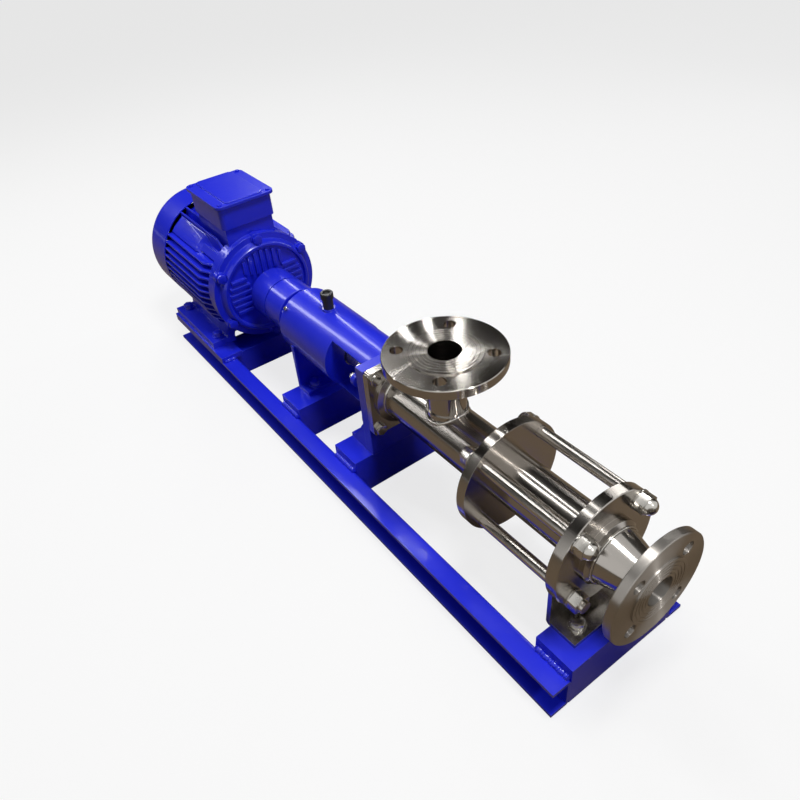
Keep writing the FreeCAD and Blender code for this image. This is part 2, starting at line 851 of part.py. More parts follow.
def fan_cowl():
    """A pressed cowl with a rounded rear corner and rings of air slots."""
    body = new_body("fan_cowl", "cowl_back")
    inside = "(cowl_radius - cowl_wall)"
    turn(body, [
        ("0", "0"),
        ("0", "cowl_radius"),
        ("cowl_length", "cowl_radius"),
        ("cowl_length", inside),
        ("cowl_wall", inside),
        ("cowl_wall", "0"),
    ])
    round_edges(body, "cowl_corner", rim_at("0", "cowl_radius"))
    round_edges(body, "cowl_corner - cowl_wall", rim_at("cowl_wall", inside))
    for ring, count in enumerate(COWL_SLOTS):
        radius = f"(cowl_slot_start + {ring} * cowl_slot_step)"
        sketch = sketch_on(body, "YZ", "-allowance")
        rectangle(
            sketch,
            "-cowl_slot_width / 2",
            "cowl_slot_width / 2",
            f"{radius} - cowl_slot_length / 2",
            f"{radius} + cowl_slot_length / 2",
        )
        slot = cut(body, sketch, "cowl_wall + 2 * allowance")
        ring_of(body, slot, count, sketch)


def cooling_fan():
    """A hub, a disc on the motor side and flat blades behind it."""
    body = new_body("cooling_fan", "cowl_back - fan_gap")
    bore = "motor_shaft_radius - shaft_step"
    turn(body, [
        ("0", bore),
        ("fan_width", bore),
        ("fan_width", "fan_radius"),
        ("fan_width - fan_disc", "fan_radius"),
        ("fan_width - fan_disc", "fan_hub_radius"),
        ("0", "fan_hub_radius"),
    ])
    sketch = rectangle(
        sketch_on(body, "XZ"),
        "fan_disc",
        "fan_width - fan_disc + allowance",
        "fan_hub_radius - allowance",
        "fan_radius - allowance",
    )
    blade = pad(body, sketch, "fan_blade", both_sides=True)
    ring_of(body, blade, FAN_BLADES, sketch_on(body, "YZ"))


def motor_inside():
    start = "(cowl_back - shaft_rear_gap)"
    shaft = new_body("motor_shaft", start)
    shoulder = "motor_shaft_radius + shaft_shoulder"
    end = f"({start} - motor_shaft_end_back)"
    rear_bearing = "(motor_frame_back + rear_shield_reach)"
    front_bearing = "(shield_face_back + shield_bearing_depth + motor_bearing_width)"
    rear_seat = f"({start} - {rear_bearing})"
    front_seat = f"({start} - {front_bearing})"
    turn(shaft, [
        ("0", "0"),
        ("0", "motor_shaft_radius - shaft_step"),
        (rear_seat, "motor_shaft_radius - shaft_step"),
        (rear_seat, "motor_shaft_radius"),
        (f"{rear_seat} + motor_bearing_width", "motor_shaft_radius"),
        (f"{rear_seat} + motor_bearing_width", shoulder),
        (front_seat, shoulder),
        (front_seat, "motor_shaft_radius"),
        (f"{end} - edge_break", "motor_shaft_radius"),
        (end, "motor_shaft_radius - edge_break"),
        (end, "0"),
    ])
    turned_ring("motor_rotor_core", "motor_core_back", "motor_core_length", "motor_core_radius", shoulder)
    turned_ring(
        "motor_stator_core",
        "motor_core_back",
        "motor_core_length",
        f"{MOTOR_BORE} - core_fit",
        "motor_core_radius + motor_air_gap",
    )
    ends = new_body("motor_windings", "motor_core_back")
    front = ("motor_core_length", "motor_core_length + winding_length")
    for first, last in (("-winding_length", "0"), front):
        turn(ends, [
            (first, "motor_core_radius + winding_gap"),
            (last, "motor_core_radius + winding_gap"),
            (last, f"{MOTOR_BORE} - winding_cover"),
            (first, f"{MOTOR_BORE} - winding_cover"),
        ])
    backs = (rear_bearing, front_bearing)
    bearing_pair("motor", backs, "motor_shaft_radius", "shield_bore", "motor_bearing_width")


def bearing_pair(name, backs, inner, outer, width):
    """Sealed ball bearings: shielded outer rings with the inner rings running inside them."""
    fixed = new_body(f"{name}_bearing_outer_rings", backs[0])
    running = new_body(f"{name}_bearing_inner_rings", backs[0])
    lip = f"({inner} + ({outer} - {inner}) * bearing_lip_share)"
    race = f"({inner} + ({outer} - {inner}) * bearing_race_share)"
    for back in backs:
        start = f"({backs[0]} - ({back}))"
        turn(fixed, [
            (start, f"{lip} + clearance"),
            (f"{start} + bearing_shield", f"{lip} + clearance"),
            (f"{start} + bearing_shield", race),
            (f"{start} + {width} - bearing_shield", race),
            (f"{start} + {width} - bearing_shield", f"{lip} + clearance"),
            (f"{start} + {width}", f"{lip} + clearance"),
            (f"{start} + {width}", outer),
            (start, outer),
        ])
        turn(running, [
            (start, inner),
            (f"{start} + {width}", inner),
            (f"{start} + {width}", lip),
            (start, lip),
        ])


def shield_bolts():
    spots = [
        (
            "motor_frame_front_back - shield_ear",
            f"shield_bolt_circle * cos({angle})",
            f"axis_height + shield_bolt_circle * sin({angle})",
        )
        for angle in SIXTHS
    ]
    fasteners("shield_bolts", ALONG_X, spots, [("hexagon", "bolt_head_corner", "0", "bolt_head_height")])


def motor_foot_bolts():
    top = "axis_height - motor_centre_height + motor_foot_thickness"
    spots = [
        (back, f"{side} * motor_bolt_half_width", top)
        for side in SIDES
        for back in ("motor_rear_bolt_back", "motor_rear_bolt_back - motor_bolt_spacing")
    ]
    screws_down("motor_foot_bolts", spots, "motor_foot_thickness")


# Terminal box

def terminal_box():
    base = "axis_height + pedestal_height"
    side = "box_width / 2"
    body = new_body("terminal_box", "box_centre_back", "0", base)
    pad(body, centred(sketch_on(body, "XY"), "box_length", "box_width"), "box_height")
    round_edges(body, "box_corner", lambda edge: runs_along(edge, Vector(0, 0, 1)))
    inner_length = "(box_length - 2 * box_wall)"
    inner_width = "(box_width - 2 * box_wall)"
    cut(body, centred(sketch_on(body, "XY", "box_wall"), inner_length, inner_width), "box_height")
    middle = "box_height / 2"
    boss = circle(sketch_on(body, "XZ", f"-{side} - entry_reach"), "entry_radius + entry_wall", "0", middle)
    pad(body, boss, "entry_reach + allowance")
    opening = circle(sketch_on(body, "XZ", f"-{side} - entry_reach - allowance"), "entry_radius", "0", middle)
    cut(body, opening, "entry_reach + box_wall + 2 * allowance")

    top = f"{base} + box_height"
    lid = new_body("terminal_box_lid", "box_centre_back", "0", top)
    pad(lid, centred(sketch_on(lid, "XY"), "lid_length", "lid_width"), "lid_thickness")
    round_edges(lid, "lid_corner", lambda edge: runs_along(edge, Vector(0, 0, 1)))
    panel_sketch = sketch_on(lid, "XY", "lid_thickness - allowance")
    panel = centred(panel_sketch, "(lid_length - 2 * lid_panel_inset)", "lid_panel_width")
    pad(lid, panel, "lid_panel + allowance")
    round_edges(lid, "box_corner", lambda edge: (
        runs_along(edge, Vector(0, 0, 1)) and near(edge.BoundBox.ZMax, value("lid_thickness + lid_panel"))
    ))
    round_edges(lid, "edge_break", lambda edge: near(edge.BoundBox.ZMin, value("lid_thickness + lid_panel")))

    spots = [
        (
            f"box_centre_back + {along} * (lid_length / 2 - lid_screw_inset)",
            f"{across} * (lid_width / 2 - lid_screw_inset)",
            f"{top} + lid_thickness",
        )
        for along, across in CORNERS
    ]
    fasteners("terminal_lid_screws", UPRIGHT, spots, [("rod", "lid_screw_radius", "0", "lid_screw_height")])

    board = new_body("terminal_board", "box_centre_back", "0", f"{base} + box_wall")
    pad(board, centred(sketch_on(board, "XY"), "board_length", "board_width"), "board_thickness")
    posts = [
        (f"{along} * post_pitch", f"{across} * board_width / 4")
        for along in (-1, 0, 1)
        for across in SIDES
    ]
    pad(board, circles(sketch_on(board, "XY", "board_thickness"), "post_radius", posts), "post_height")

    plug = new_body("cable_entry_plug", "box_centre_back", f"{side} + entry_reach", f"{base} + {middle}")
    turn(plug, [
        ("-(entry_reach + box_wall)", "0"),
        ("-(entry_reach + box_wall)", "entry_radius - plug_fit"),
        ("0", "entry_radius - plug_fit"),
        ("0", "entry_radius + plug_rim"),
        ("plug_head - edge_break", "entry_radius + plug_rim"),
        ("plug_head", "entry_radius + plug_rim - edge_break"),
        ("plug_head", "0"),
    ], "YZ")


# Coupling

def coupling():
    """Two hubs with a rubber spider between their faces."""
    rear_length = "(coupling_rear_back - coupling_joint_back - coupling_gap / 2)"
    front_length = "(coupling_joint_back - coupling_front_back - coupling_gap / 2)"
    rear = new_body("coupling_motor_hub", "coupling_rear_back")
    turn(rear, [
        ("0", "motor_shaft_radius"),
        ("0", "coupling_radius - coupling_bevel"),
        ("coupling_bevel", "coupling_radius"),
        (rear_length, "coupling_radius"),
        (rear_length, "motor_shaft_radius"),
    ])
    front = new_body("coupling_pump_hub", "coupling_joint_back - coupling_gap / 2")
    turn(front, [
        ("0", "drive_shaft_end"),
        ("0", "coupling_radius"),
        (f"{front_length} - edge_break", "coupling_radius"),
        (front_length, "coupling_radius - edge_break"),
        (front_length, "drive_shaft_end"),
    ])
    spider = new_body("coupling_spider", "coupling_joint_back + coupling_gap / 2 - clearance")
    turn(spider, [
        ("0", "spider_bore"),
        ("0", "coupling_radius - spider_inset"),
        ("coupling_gap - 2 * clearance", "coupling_radius - spider_inset"),
        ("coupling_gap - 2 * clearance", "spider_bore"),
    ])


# Bearing housing

def housing_at(back):
    """A place along the bearing housing, counted from its rear face."""
    return f"(housing_rear_back - {back})"


def bearing_housing():
    """A cast barrel, a lantern open at both sides, and two legs with feet; the front leg is the flange."""
    body = new_body("bearing_housing", "housing_rear_back")
    length = housing_at("housing_face_back")
    lantern = housing_at("housing_solid_back")
    flange = housing_at("housing_flange_back")
    pocket = housing_at("(front_bearing_back - bearing_width)")
    rear_leg = housing_at("rear_leg_back")
    thickness = "(housing_flange_back - housing_face_back)"
    shaft_hole = "drive_shaft_seat + shaft_gap"
    foot_top = "-axis_height + beam_height"
    turn(body, [
        ("0", shaft_hole),
        ("0", "housing_radius - housing_edge"),
        ("housing_edge", "housing_radius"),
        (length, "housing_radius"),
        (length, LANTERN_BORE),
        (lantern, LANTERN_BORE),
        (lantern, shaft_hole),
    ])
    flange_sketch = sketch_on(body, "YZ", flange)
    pad(body, rectangle(flange_sketch, f"-{SQUARE_HALF}", SQUARE_HALF, foot_top, SQUARE_HALF), thickness)
    leg_sketch = sketch_on(body, "YZ", rear_leg)
    rectangle(leg_sketch, "-leg_half_width", "leg_half_width", foot_top, "-leg_top")
    pad(body, leg_sketch, "leg_thickness")
    foot_end = f"{rear_leg} + leg_foot_length"
    rear_foot = sketch_on(body, "XY", foot_top)
    rectangle(rear_foot, rear_leg, foot_end, "-leg_half_width", "leg_half_width")
    pad(body, rear_foot, "leg_foot_thickness")
    web = rectangle(sketch_on(body, "XZ"), rear_leg, foot_end, foot_top, f"-{LANTERN_BORE}")
    pad(body, web, "leg_web", both_sides=True)
    edge = f"({SQUARE_HALF} - edge_break)"
    front_foot = sketch_on(body, "XY", foot_top)
    pad(body, rectangle(front_foot, f"{flange} - gusset_run", flange, f"-{edge}", edge), "leg_foot_thickness")
    for offset in (f"{edge} - gusset_thickness", f"-{edge}"):
        gusset = outline(sketch_on(body, "XZ", offset), [
            (flange, "-gusset_top"),
            (f"{flange} - gusset_run", foot_top),
            (flange, foot_top),
        ])
        pad(body, gusset, "gusset_thickness")
    cut(body, circle(sketch_on(body, "YZ", "-allowance"), "bearing_radius"), f"{pocket} + allowance")
    cut(body, circle(sketch_on(body, "YZ", lantern), LANTERN_BORE), f"{length} - {lantern} + allowance")
    window = rectangle(sketch_on(body, "XZ"), lantern, flange, "-window_half_height", "window_half_height")
    cut_through(body, window)
    at = housing_at("oil_cap_back")
    boss = circle(sketch_on(body, "XY", LANTERN_BORE), "oil_cap_radius", at, "0")
    pad(body, boss, "housing_wall + oil_boss_height")
    filler = circle(sketch_on(body, "XY"), "oil_bore", at, "0")
    cut(body, filler, "housing_radius + oil_boss_height + allowance")
    bolts = circles(
        sketch_on(body, "YZ", f"{flange} - allowance"),
        BOLT_HOLE,
        [(f"{side} * {SQUARE_BOLT}", f"{up} * {SQUARE_BOLT}") for side, up in CORNERS],
    )
    cut(body, bolts, f"{thickness} + 2 * allowance")
    feet = circles(sketch_on(body, "XY", f"{foot_top} - allowance"), BOLT_HOLE, [
        (housing_at(back), f"{side} * foot_bolt_half")
        for back in FOOT_BOLT_BACKS
        for side in SIDES
    ])
    cut(body, feet, "leg_foot_thickness + 2 * allowance")


def housing_foot_bolts():
    top = "beam_height + leg_foot_thickness"
    spots = [(back, f"{side} * foot_bolt_half", top) for side in SIDES for back in FOOT_BOLT_BACKS]
    screws_down("housing_foot_bolts", spots, "leg_foot_thickness")


def oil_cap():
    body = new_body("oil_cap", "oil_cap_back")
    seat = "housing_radius + oil_boss_height"
    top = "oil_cap_top"
    turn(body, [
        ("0", "housing_radius - oil_stem"),
        ("oil_bore - clearance", "housing_radius - oil_stem"),
        ("oil_bore - clearance", seat),
        ("oil_neck_radius", seat),
        ("oil_neck_radius", f"{top} - oil_cap_grip - edge_break"),
        ("oil_cap_radius", f"{top} - oil_cap_grip"),
        ("oil_cap_radius", f"{top} - edge_break"),
        ("oil_cap_radius - edge_break", top),
        ("oil_cap_radius - oil_cap_rim", top),
        ("oil_cap_radius - oil_cap_rim - edge_break", f"{top} - oil_cap_dish"),
        ("0", f"{top} - oil_cap_dish"),
    ], "XZ", "V_Axis")


def bearing_cover():
    body = new_body("bearing_cover", "housing_rear_back + cover_thickness")
    lip = "cover_thickness + housing_rear_back - rear_bearing_back"
    bore = "drive_shaft_seat + shaft_gap"
    turn(body, [
        ("0", bore),
        ("0", "cover_radius - 2 * edge_break"),
        ("2 * edge_break", "cover_radius"),
        ("cover_thickness", "cover_radius"),
        ("cover_thickness", "bearing_radius"),
        (lip, "bearing_radius"),
        (lip, "bearing_radius - cover_lip"),
        ("cover_thickness", "bearing_radius - cover_lip"),
        ("cover_thickness", bore),
    ])
    spots = [
        (
            "housing_rear_back + cover_thickness + cover_screw_height",
            f"cover_screw_circle * cos({angle})",
            f"axis_height + cover_screw_circle * sin({angle})",
        )
        for angle in SIXTHS
    ]
    screw = ("hexagon", "cover_screw_corner", "0", "cover_screw_height")
    fasteners("bearing_cover_screws", ALONG_X, spots, [screw])


def drive_shaft():
    """The pump's own shaft, from the coupling to the socket of the rear pin joint."""
    start = "coupling_joint_back - coupling_gap / 2"
    body = new_body("drive_shaft", start)
    seat = f"({start} - coupling_front_back)"
    neck = f"({start} - front_bearing_back + bearing_width)"
    head = f"({start} - shaft_head_back)"
    end = f"({start} - shaft_head_end_back)"
    turn(body, [
        ("0", "0"),
        ("0", "drive_shaft_end - edge_break"),
        ("edge_break", "drive_shaft_end"),
        (seat, "drive_shaft_end"),
        (seat, "drive_shaft_seat"),
        (neck, "drive_shaft_seat"),
        (neck, "drive_shaft_radius"),
        (head, "drive_shaft_radius"),
        (head, "shaft_head_radius"),
        (end, "shaft_head_radius"),
        (end, "socket_radius"),
        (f"{end} - socket_depth", "socket_radius"),
        (f"{end} - socket_depth", "0"),
    ])
    pin = f"{start} - joint_rear_back"
    cut_through(body, circle(sketch_on(body, "XZ"), "joint_pin_radius", pin, "0"))


def gland():
    """The packing rings, the two eared follower that presses them, and its studs."""
    start = "(stuffing_back - packing_inset)"
    rings = new_body("gland_packing", start)
    width = f"(({start} - housing_face_back) / {PACKING_RINGS})"
    for number in range(PACKING_RINGS):
        turn(rings, [
            (f"{number} * {width}", "drive_shaft_radius + packing_fit"),
            (f"({number} + 1) * {width} - clearance", "drive_shaft_radius + packing_fit"),
            (f"({number} + 1) * {width} - clearance", "packing_radius"),
            (f"{number} * {width}", "packing_radius"),
        ])
    follower = new_body("gland_follower", "gland_plate_back")
    pad(follower, circle(sketch_on(follower, "YZ"), "gland_disc_radius"), "gland_plate")
    bar = centred(sketch_on(follower, "YZ"), "(2 * gland_stud_half)", "(2 * gland_ear_radius)")
    pad(follower, bar, "gland_plate")
    ears = [(f"{side} * gland_stud_half", "0") for side in SIDES]
    pad(follower, circles(sketch_on(follower, "YZ"), "gland_ear_radius", ears), "gland_plate")
    nose = circle(sketch_on(follower, "YZ"), "packing_radius - clearance")
    pad(follower, nose, f"gland_plate_back - {start}")
    cut_through(follower, circle(sketch_on(follower, "YZ"), "drive_shaft_radius + edge_break"))
    cut_through(follower, circles(sketch_on(follower, "YZ"), "gland_stud_radius + bolt_clearance", ears))
    spots = [("stuffing_back", f"{side} * gland_stud_half", "axis_height") for side in SIDES]
    reach = "(gland_plate_back - stuffing_back)"
    fasteners("gland_studs", ALONG_X, spots, [
        ("rod", "gland_stud_radius", f"-{reach} - gland_stud_end", f"{reach} + gland_stud_end"),
        ("hexagon", "gland_nut_corner", f"-{reach} - gland_nut_height", "gland_nut_height"),
    ])


# Suction casing

def suction_casing():
    """A stuffing box behind a square flange, the casing tube, and the rear stator flange."""
    body = new_body("suction_casing", "housing_face_back")
    tube = "(housing_face_back + stator_rear_out)"
    end = f"{tube} + stator_flange_thickness"
    square = "square_thickness"
    inside = "casing_radius - casing_wall"
    turn(body, [
        (square, inside),
        (square, "weld_ring_radius"),
        (f"{square} + weld_ring_length / 2", "weld_ring_radius"),
        (f"{square} + weld_ring_length", "casing_radius"),
        (tube, "casing_radius"),
        (tube, "stator_flange_radius - edge_break"),
        (f"{tube} + edge_break", "stator_flange_radius"),
        (end, "stator_flange_radius"),
        (end, "stator_tube_radius"),
        (f"{end} - stator_recess", "stator_tube_radius"),
        (f"{end} - stator_recess", STATOR_BORE),
        (tube, inside),
    ])
    plate = rectangle(sketch_on(body, "YZ"), f"-{SQUARE_HALF}", SQUARE_HALF, f"-{SQUARE_HALF}", SQUARE_HALF)
    pad(body, plate, square)
    round_edges(body, "square_corner", is_square_corner)
    stuffing = "(stuffing_back - housing_face_back)"
    stuffing_box = circle(sketch_on(body, "YZ", f"-{stuffing}"), f"{LANTERN_BORE} - clearance")
    pad(body, stuffing_box, f"{stuffing} + allowance")
    packing_bore = circle(sketch_on(body, "YZ", f"-{stuffing} - allowance"), "packing_radius")
    cut(body, packing_bore, f"{stuffing} + allowance")
    shaft_hole = circle(sketch_on(body, "YZ", "-allowance"), "drive_shaft_radius + shaft_gap")
    cut(body, shaft_hole, f"{square} + 2 * allowance")
    passage = circle(sketch_on(body, "XY"), "suction_bore", "housing_face_back", "0")
    cut(body, passage, "casing_radius + allowance")
    corners = [(f"{side} * {SQUARE_BOLT}", f"{up} * {SQUARE_BOLT}") for side, up in CORNERS]
    cut(body, circles(sketch_on(body, "YZ", "-allowance"), BOLT_HOLE, corners), f"{square} + 2 * allowance")
    drill_for_tie_rods(body, tube)


def drill_for_tie_rods(body, face):
    spots = [(f"{side} * tie_rod_half", f"{up} * tie_rod_half") for side, up in CORNERS]
    sketch = circles(sketch_on(body, "YZ", f"{face} - allowance"), TIE_ROD_HOLE, spots)
    cut(body, sketch, "stator_flange_thickness + 2 * allowance")


def is_square_corner(edge):
    corner = value(SQUARE_HALF)
    spot = edge.Vertexes[0].Point
    return runs_along(edge, Vector(1, 0, 0)) and near(abs(spot.y), corner) and near(abs(spot.z), corner)


def suction_flange():
    """The upright neck, saddled on the casing tube, with its round flange."""
    body = new_body("suction_flange")
    back = "suction_height - suction_flange_thickness"
    seat = "suction_height - raised_face"
    turn(body, [
        ("suction_bore", back),
        ("suction_flange_radius - edge_break", back),
        ("suction_flange_radius", f"{back} + edge_break"),
        ("suction_flange_radius", f"{seat} - edge_break"),
        ("suction_flange_radius - edge_break", seat),
        *flange_face("suction_height", "suction_raised_radius", SUCTION_GROOVES),
        ("suction_bore", "suction_height"),
    ], "XZ", "V_Axis")
    neck = circle(sketch_on(body, "XY"), "suction_neck")
    pad(body, neck, f"{back} + allowance")
    collar = circle(sketch_on(body, "XY", f"{back} - 2 * suction_collar"), "suction_neck + suction_collar")
    pad(body, collar, "2 * suction_collar + allowance")
    weld = circle(sketch_on(body, "XY", "casing_radius - weld_leg"), "suction_neck + weld_leg / 2")
    pad(body, weld, "1.5 * weld_leg")
    cut_through(body, circle(sketch_on(body, "YZ"), "casing_radius"))
    cut(body, circle(sketch_on(body, "XY"), "suction_bore"), "suction_height + allowance")
    drilling = sketch_on(body, "XY", f"{back} - allowance")
    circles(drilling, "flange_hole", diagonals("suction_hole_circle"))
    cut(body, drilling, "suction_flange_thickness + 2 * allowance")


def casing_bolts():
    spots = [
        ("housing_face_back", f"{side} * {SQUARE_BOLT}", f"axis_height + {up} * {SQUARE_BOLT}")
        for side, up in CORNERS
    ]
    flange = "(housing_flange_back - housing_face_back)"
    fasteners("casing_bolts", ALONG_X, spots, [
        ("hexagon", "bolt_head_corner", "square_thickness", "bolt_head_height"),
        ("rod", "bolt_radius", f"-{flange}", f"{flange} + square_thickness"),
        ("hexagon", "bolt_head_corner", f"-{flange} - bolt_head_height", "bolt_head_height"),
    ])


# Stator and tie rods

def stator_section(turned, grow):
    """The stadium shaped opening of the stator at one place, turned about the pump axis."""
    reach = 2 * value("eccentricity")
    radius = value("rotor_radius") + grow
    side = Vector(0, reach, 0)
    up = Vector(0, 0, radius)
    out = Vector(0, radius, 0)
    edges = [
        Part.LineSegment(side * -1 - up, side - up).toShape(),
        Part.Arc(side - up, side + out, side + up).toShape(),
        Part.LineSegment(side + up, side * -1 + up).toShape(),
        Part.Arc(side * -1 + up, side * -1 - out, side * -1 - up).toShape(),
    ]
    wire = Part.Wire(edges)
    wire.rotate(Vector(), Vector(1, 0, 0), turned)
    return wire


def stator():
    start = "(stator_rear_out + stator_flange_thickness - stator_recess)"
    length = f"(stator_front_out + stator_recess - {start})"
    turned_ring("stator_tube", f"-{start}", length, "stator_tube_radius", STATOR_BORE)
    first = value(start)
    run = value(length)
    twist = 360 / (2 * value("rotor_pitch"))
    steps = math.ceil(run * twist / STATOR_SECTION_TWIST)
    sections = []
    for number in range(-1, steps + 2):
        out = first + run * number / steps
        section = stator_section(out * twist, value("rotor_running_gap"))
        section.translate(Vector(out, 0, 0))
        sections.append(section)
    bore = Part.makeLoft(sections, True, True)
    lining = Part.makeCylinder(value(STATOR_BORE), run, Vector(first, 0, 0), Vector(1, 0, 0))
    rubber = document.addObject("Part::Feature", "stator_rubber")
    rubber.Label = "stator_rubber"
    rubber.Shape = lining.cut(bore)
    place(rubber)
    pieces.append(rubber)


def tie_rod_spots(out, ups):
    return [
        (f"-({out})", f"{side} * tie_rod_half", f"axis_height + {up} * tie_rod_half")
        for side in SIDES
        for up in ups
    ]


def tie_rods():
    """Four stay bolts; the upper two end inside dome nuts, the lower two show past their plain nuts."""
    rear_end = "(washer_thickness + tie_nut_height + tie_rod_end)"
    run = f"({rear_end} + stator_front_out + stator_flange_thickness - stator_rear_out)"
    rods = []
    for ups, past in (((1,), "washer_thickness + tie_nut_height"), ((-1,), rear_end)):
        section = ("rod", "tie_rod_radius", f"-{rear_end}", f"{run} + {past}")
        rods += stacks(f"tie_rod{ups[0]}", ALONG_X, tie_rod_spots("stator_rear_out", ups), [section])
    group = joined("tie_rods", rods)
    pieces.append(group)
    return group


def tie_rod_nuts(rods):
    """Dome nuts above and plain nuts below on the discharge side, plain nuts on the suction side."""
    washer = ("rod", "tie_washer_radius", "0", "washer_thickness")
    nut = ("hexagon", "tie_nut_corner", "washer_thickness", "tie_nut_height")
    dome = ("dome", "tie_nut_dome", "washer_thickness + tie_nut_height - allowance", "0")
    rear = [
        ("rod", "tie_washer_radius", "-washer_thickness", "washer_thickness"),
        ("hexagon", "tie_nut_corner", "-washer_thickness - tie_nut_height", "tie_nut_height"),
    ]
    front_face = "stator_front_out + stator_flange_thickness"
    for label, out, ups, sections in (
        ("dome_nuts", front_face, (1,), [washer, nut, dome]),
        ("lower_nuts", front_face, (-1,), [washer, nut]),
        ("rear_nuts", "stator_rear_out", (-1, 1), rear),
    ):
        drilled = document.addObject("Part::Cut", label)
        drilled.Label = label
        drilled.Base = joined(f"{label}_blanks", stacks(label, ALONG_X, tie_rod_spots(out, ups), sections))
        drilled.Tool = rods
        pieces.append(drilled)


def discharge_head():
    """Front stator flange, collar and reducing cone in one weldment."""
    body = new_body("discharge_head", "-stator_front_out")
    end = "(discharge_out - discharge_flange_thickness - stator_front_out)"
    collar = "(collar_end_out - stator_front_out)"
    thick = "stator_flange_thickness"
    small = "discharge_bore + neck_wall"
    turn(body, [
        ("0", "stator_tube_radius"),
        ("0", "stator_flange_radius"),
        (f"{thick} - edge_break", "stator_flange_radius"),
        (thick, "stator_flange_radius - edge_break"),
        (thick, "stator_tube_radius + collar_wall"),
        (f"{collar} - collar_bevel", "stator_tube_radius + collar_wall"),
        (collar, "stator_tube_radius + cone_wall"),
        (f"{end} - neck_weld_length", small),
        (f"{end} - neck_weld", small),
        (end, f"{small} + neck_weld"),
        (end, "discharge_bore + neck_step"),
        (collar, STATOR_BORE),
        ("stator_recess", STATOR_BORE),
        ("stator_recess", "stator_tube_radius"),
    ])
    drill_for_tie_rods(body, "0")


def discharge_flange():
    body = new_body("discharge_flange", "-(discharge_out - discharge_flange_thickness)")
    face = "discharge_flange_thickness"
    seat = f"{face} - raised_face"
    grooved = flange_face(face, "discharge_raised_radius", DISCHARGE_GROOVES)
    corners = [
        ("0", "discharge_bore"),
        ("0", "discharge_flange_radius - edge_break"),
        ("edge_break", "discharge_flange_radius"),
        (f"{seat} - edge_break", "discharge_flange_radius"),
        (seat, "discharge_flange_radius - edge_break"),
        *[(along, radius) for radius, along in grooved],
        (face, "discharge_bore"),
    ]
    turn(body, corners)
    drilling = circles(sketch_on(body, "YZ", "-allowance"), "flange_hole", diagonals("discharge_hole_circle"))
    cut(body, drilling, f"{face} + 2 * allowance")


def support_foot():
    """A bent stainless plate behind the front stator flange, held by the lower tie rods."""
    body = new_body("support_foot", "-(stator_front_out - foot_plate)", "0", "beam_height")
    top = "axis_height - beam_height - stator_tube_radius - edge_break"
    section = outline(sketch_on(body, "XZ"), [
        ("0", "0"),
        ("foot_length", "0"),
        ("foot_length", "foot_plate"),
        ("foot_plate", "foot_plate"),
        ("foot_plate", top),
        ("0", top),
    ])
    pad(body, section, "2 * foot_half_width", both_sides=True)
    round_edges(body, "foot_plate", lambda edge: (
        runs_along(edge, Vector(0, 1, 0)) and near(edge.BoundBox.XMax, 0) and near(edge.BoundBox.ZMax, 0)
    ))
    level = "axis_height - beam_height - tie_rod_half"
    rods = circles(sketch_on(body, "YZ"), TIE_ROD_HOLE, [(f"{side} * tie_rod_half", level) for side in SIDES])
    cut_through(body, rods)
    down = [("foot_bolt_along", f"{side} * foot_bolt_side") for side in SIDES]
    cut(body, circles(sketch_on(body, "XY", "-allowance"), BOLT_HOLE, down), "foot_plate + 2 * allowance")
    bolt_back = "-(stator_front_out - foot_plate + foot_bolt_along)"
    spots = [(bolt_back, f"{side} * foot_bolt_side", "beam_height + foot_plate") for side in SIDES]
    screws_down("support_foot_bolts", spots, "foot_plate")


# Rotor, connecting rod and joints

def helix_point(out):
    """The middle of the rotor's round section at one place, for the rest position."""
    turned = math.radians(360 * out / value("rotor_pitch"))
    throw = value("eccentricity")
    return Vector(out, throw + throw * math.cos(turned), throw * math.sin(turned))


def rotor():
    """A round bar whose sections lie on a helix, with a socketed head for the front pin joint."""
    start = value("rotor_start_out")
    end = value("rotor_end_out")
    steps = math.ceil(ROTOR_SECTIONS * (end - start) / value("rotor_pitch"))
    radius = value("rotor_radius")
    sections = []
    for number in range(steps + 1):
        middle = helix_point(start + (end - start) * number / steps)
        sections.append(Part.Wire(Part.makeCircle(radius, middle, Vector(1, 0, 0))))
    screw = Part.makeLoft(sections, True, True)
    along = Vector(1, 0, 0)
    across = Vector(0, 1, 0)
    throw = across * value("eccentricity")
    inside = value("allowance")
    head_start = value("rotor_head_out")
    head_radius = value("rotor_head_radius")
    head = Part.makeCylinder(head_radius, start - head_start + inside, throw + along * head_start, along)
    socket = Part.makeCylinder(
        value("socket_radius"), value("socket_depth"), throw + along * (head_start - inside), along
    )
    pin_start = throw + along * value("joint_front_out") - across * (head_radius + inside)
    pin_hole = Part.makeCylinder(value("joint_pin_radius"), 2 * (head_radius + inside), pin_start, across)
    piece = document.addObject("Part::Feature", "rotor")
    piece.Label = "rotor"
    piece.Shape = head.fuse(screw).cut(socket).cut(pin_hole)
    place(piece)
    pieces.append(piece)


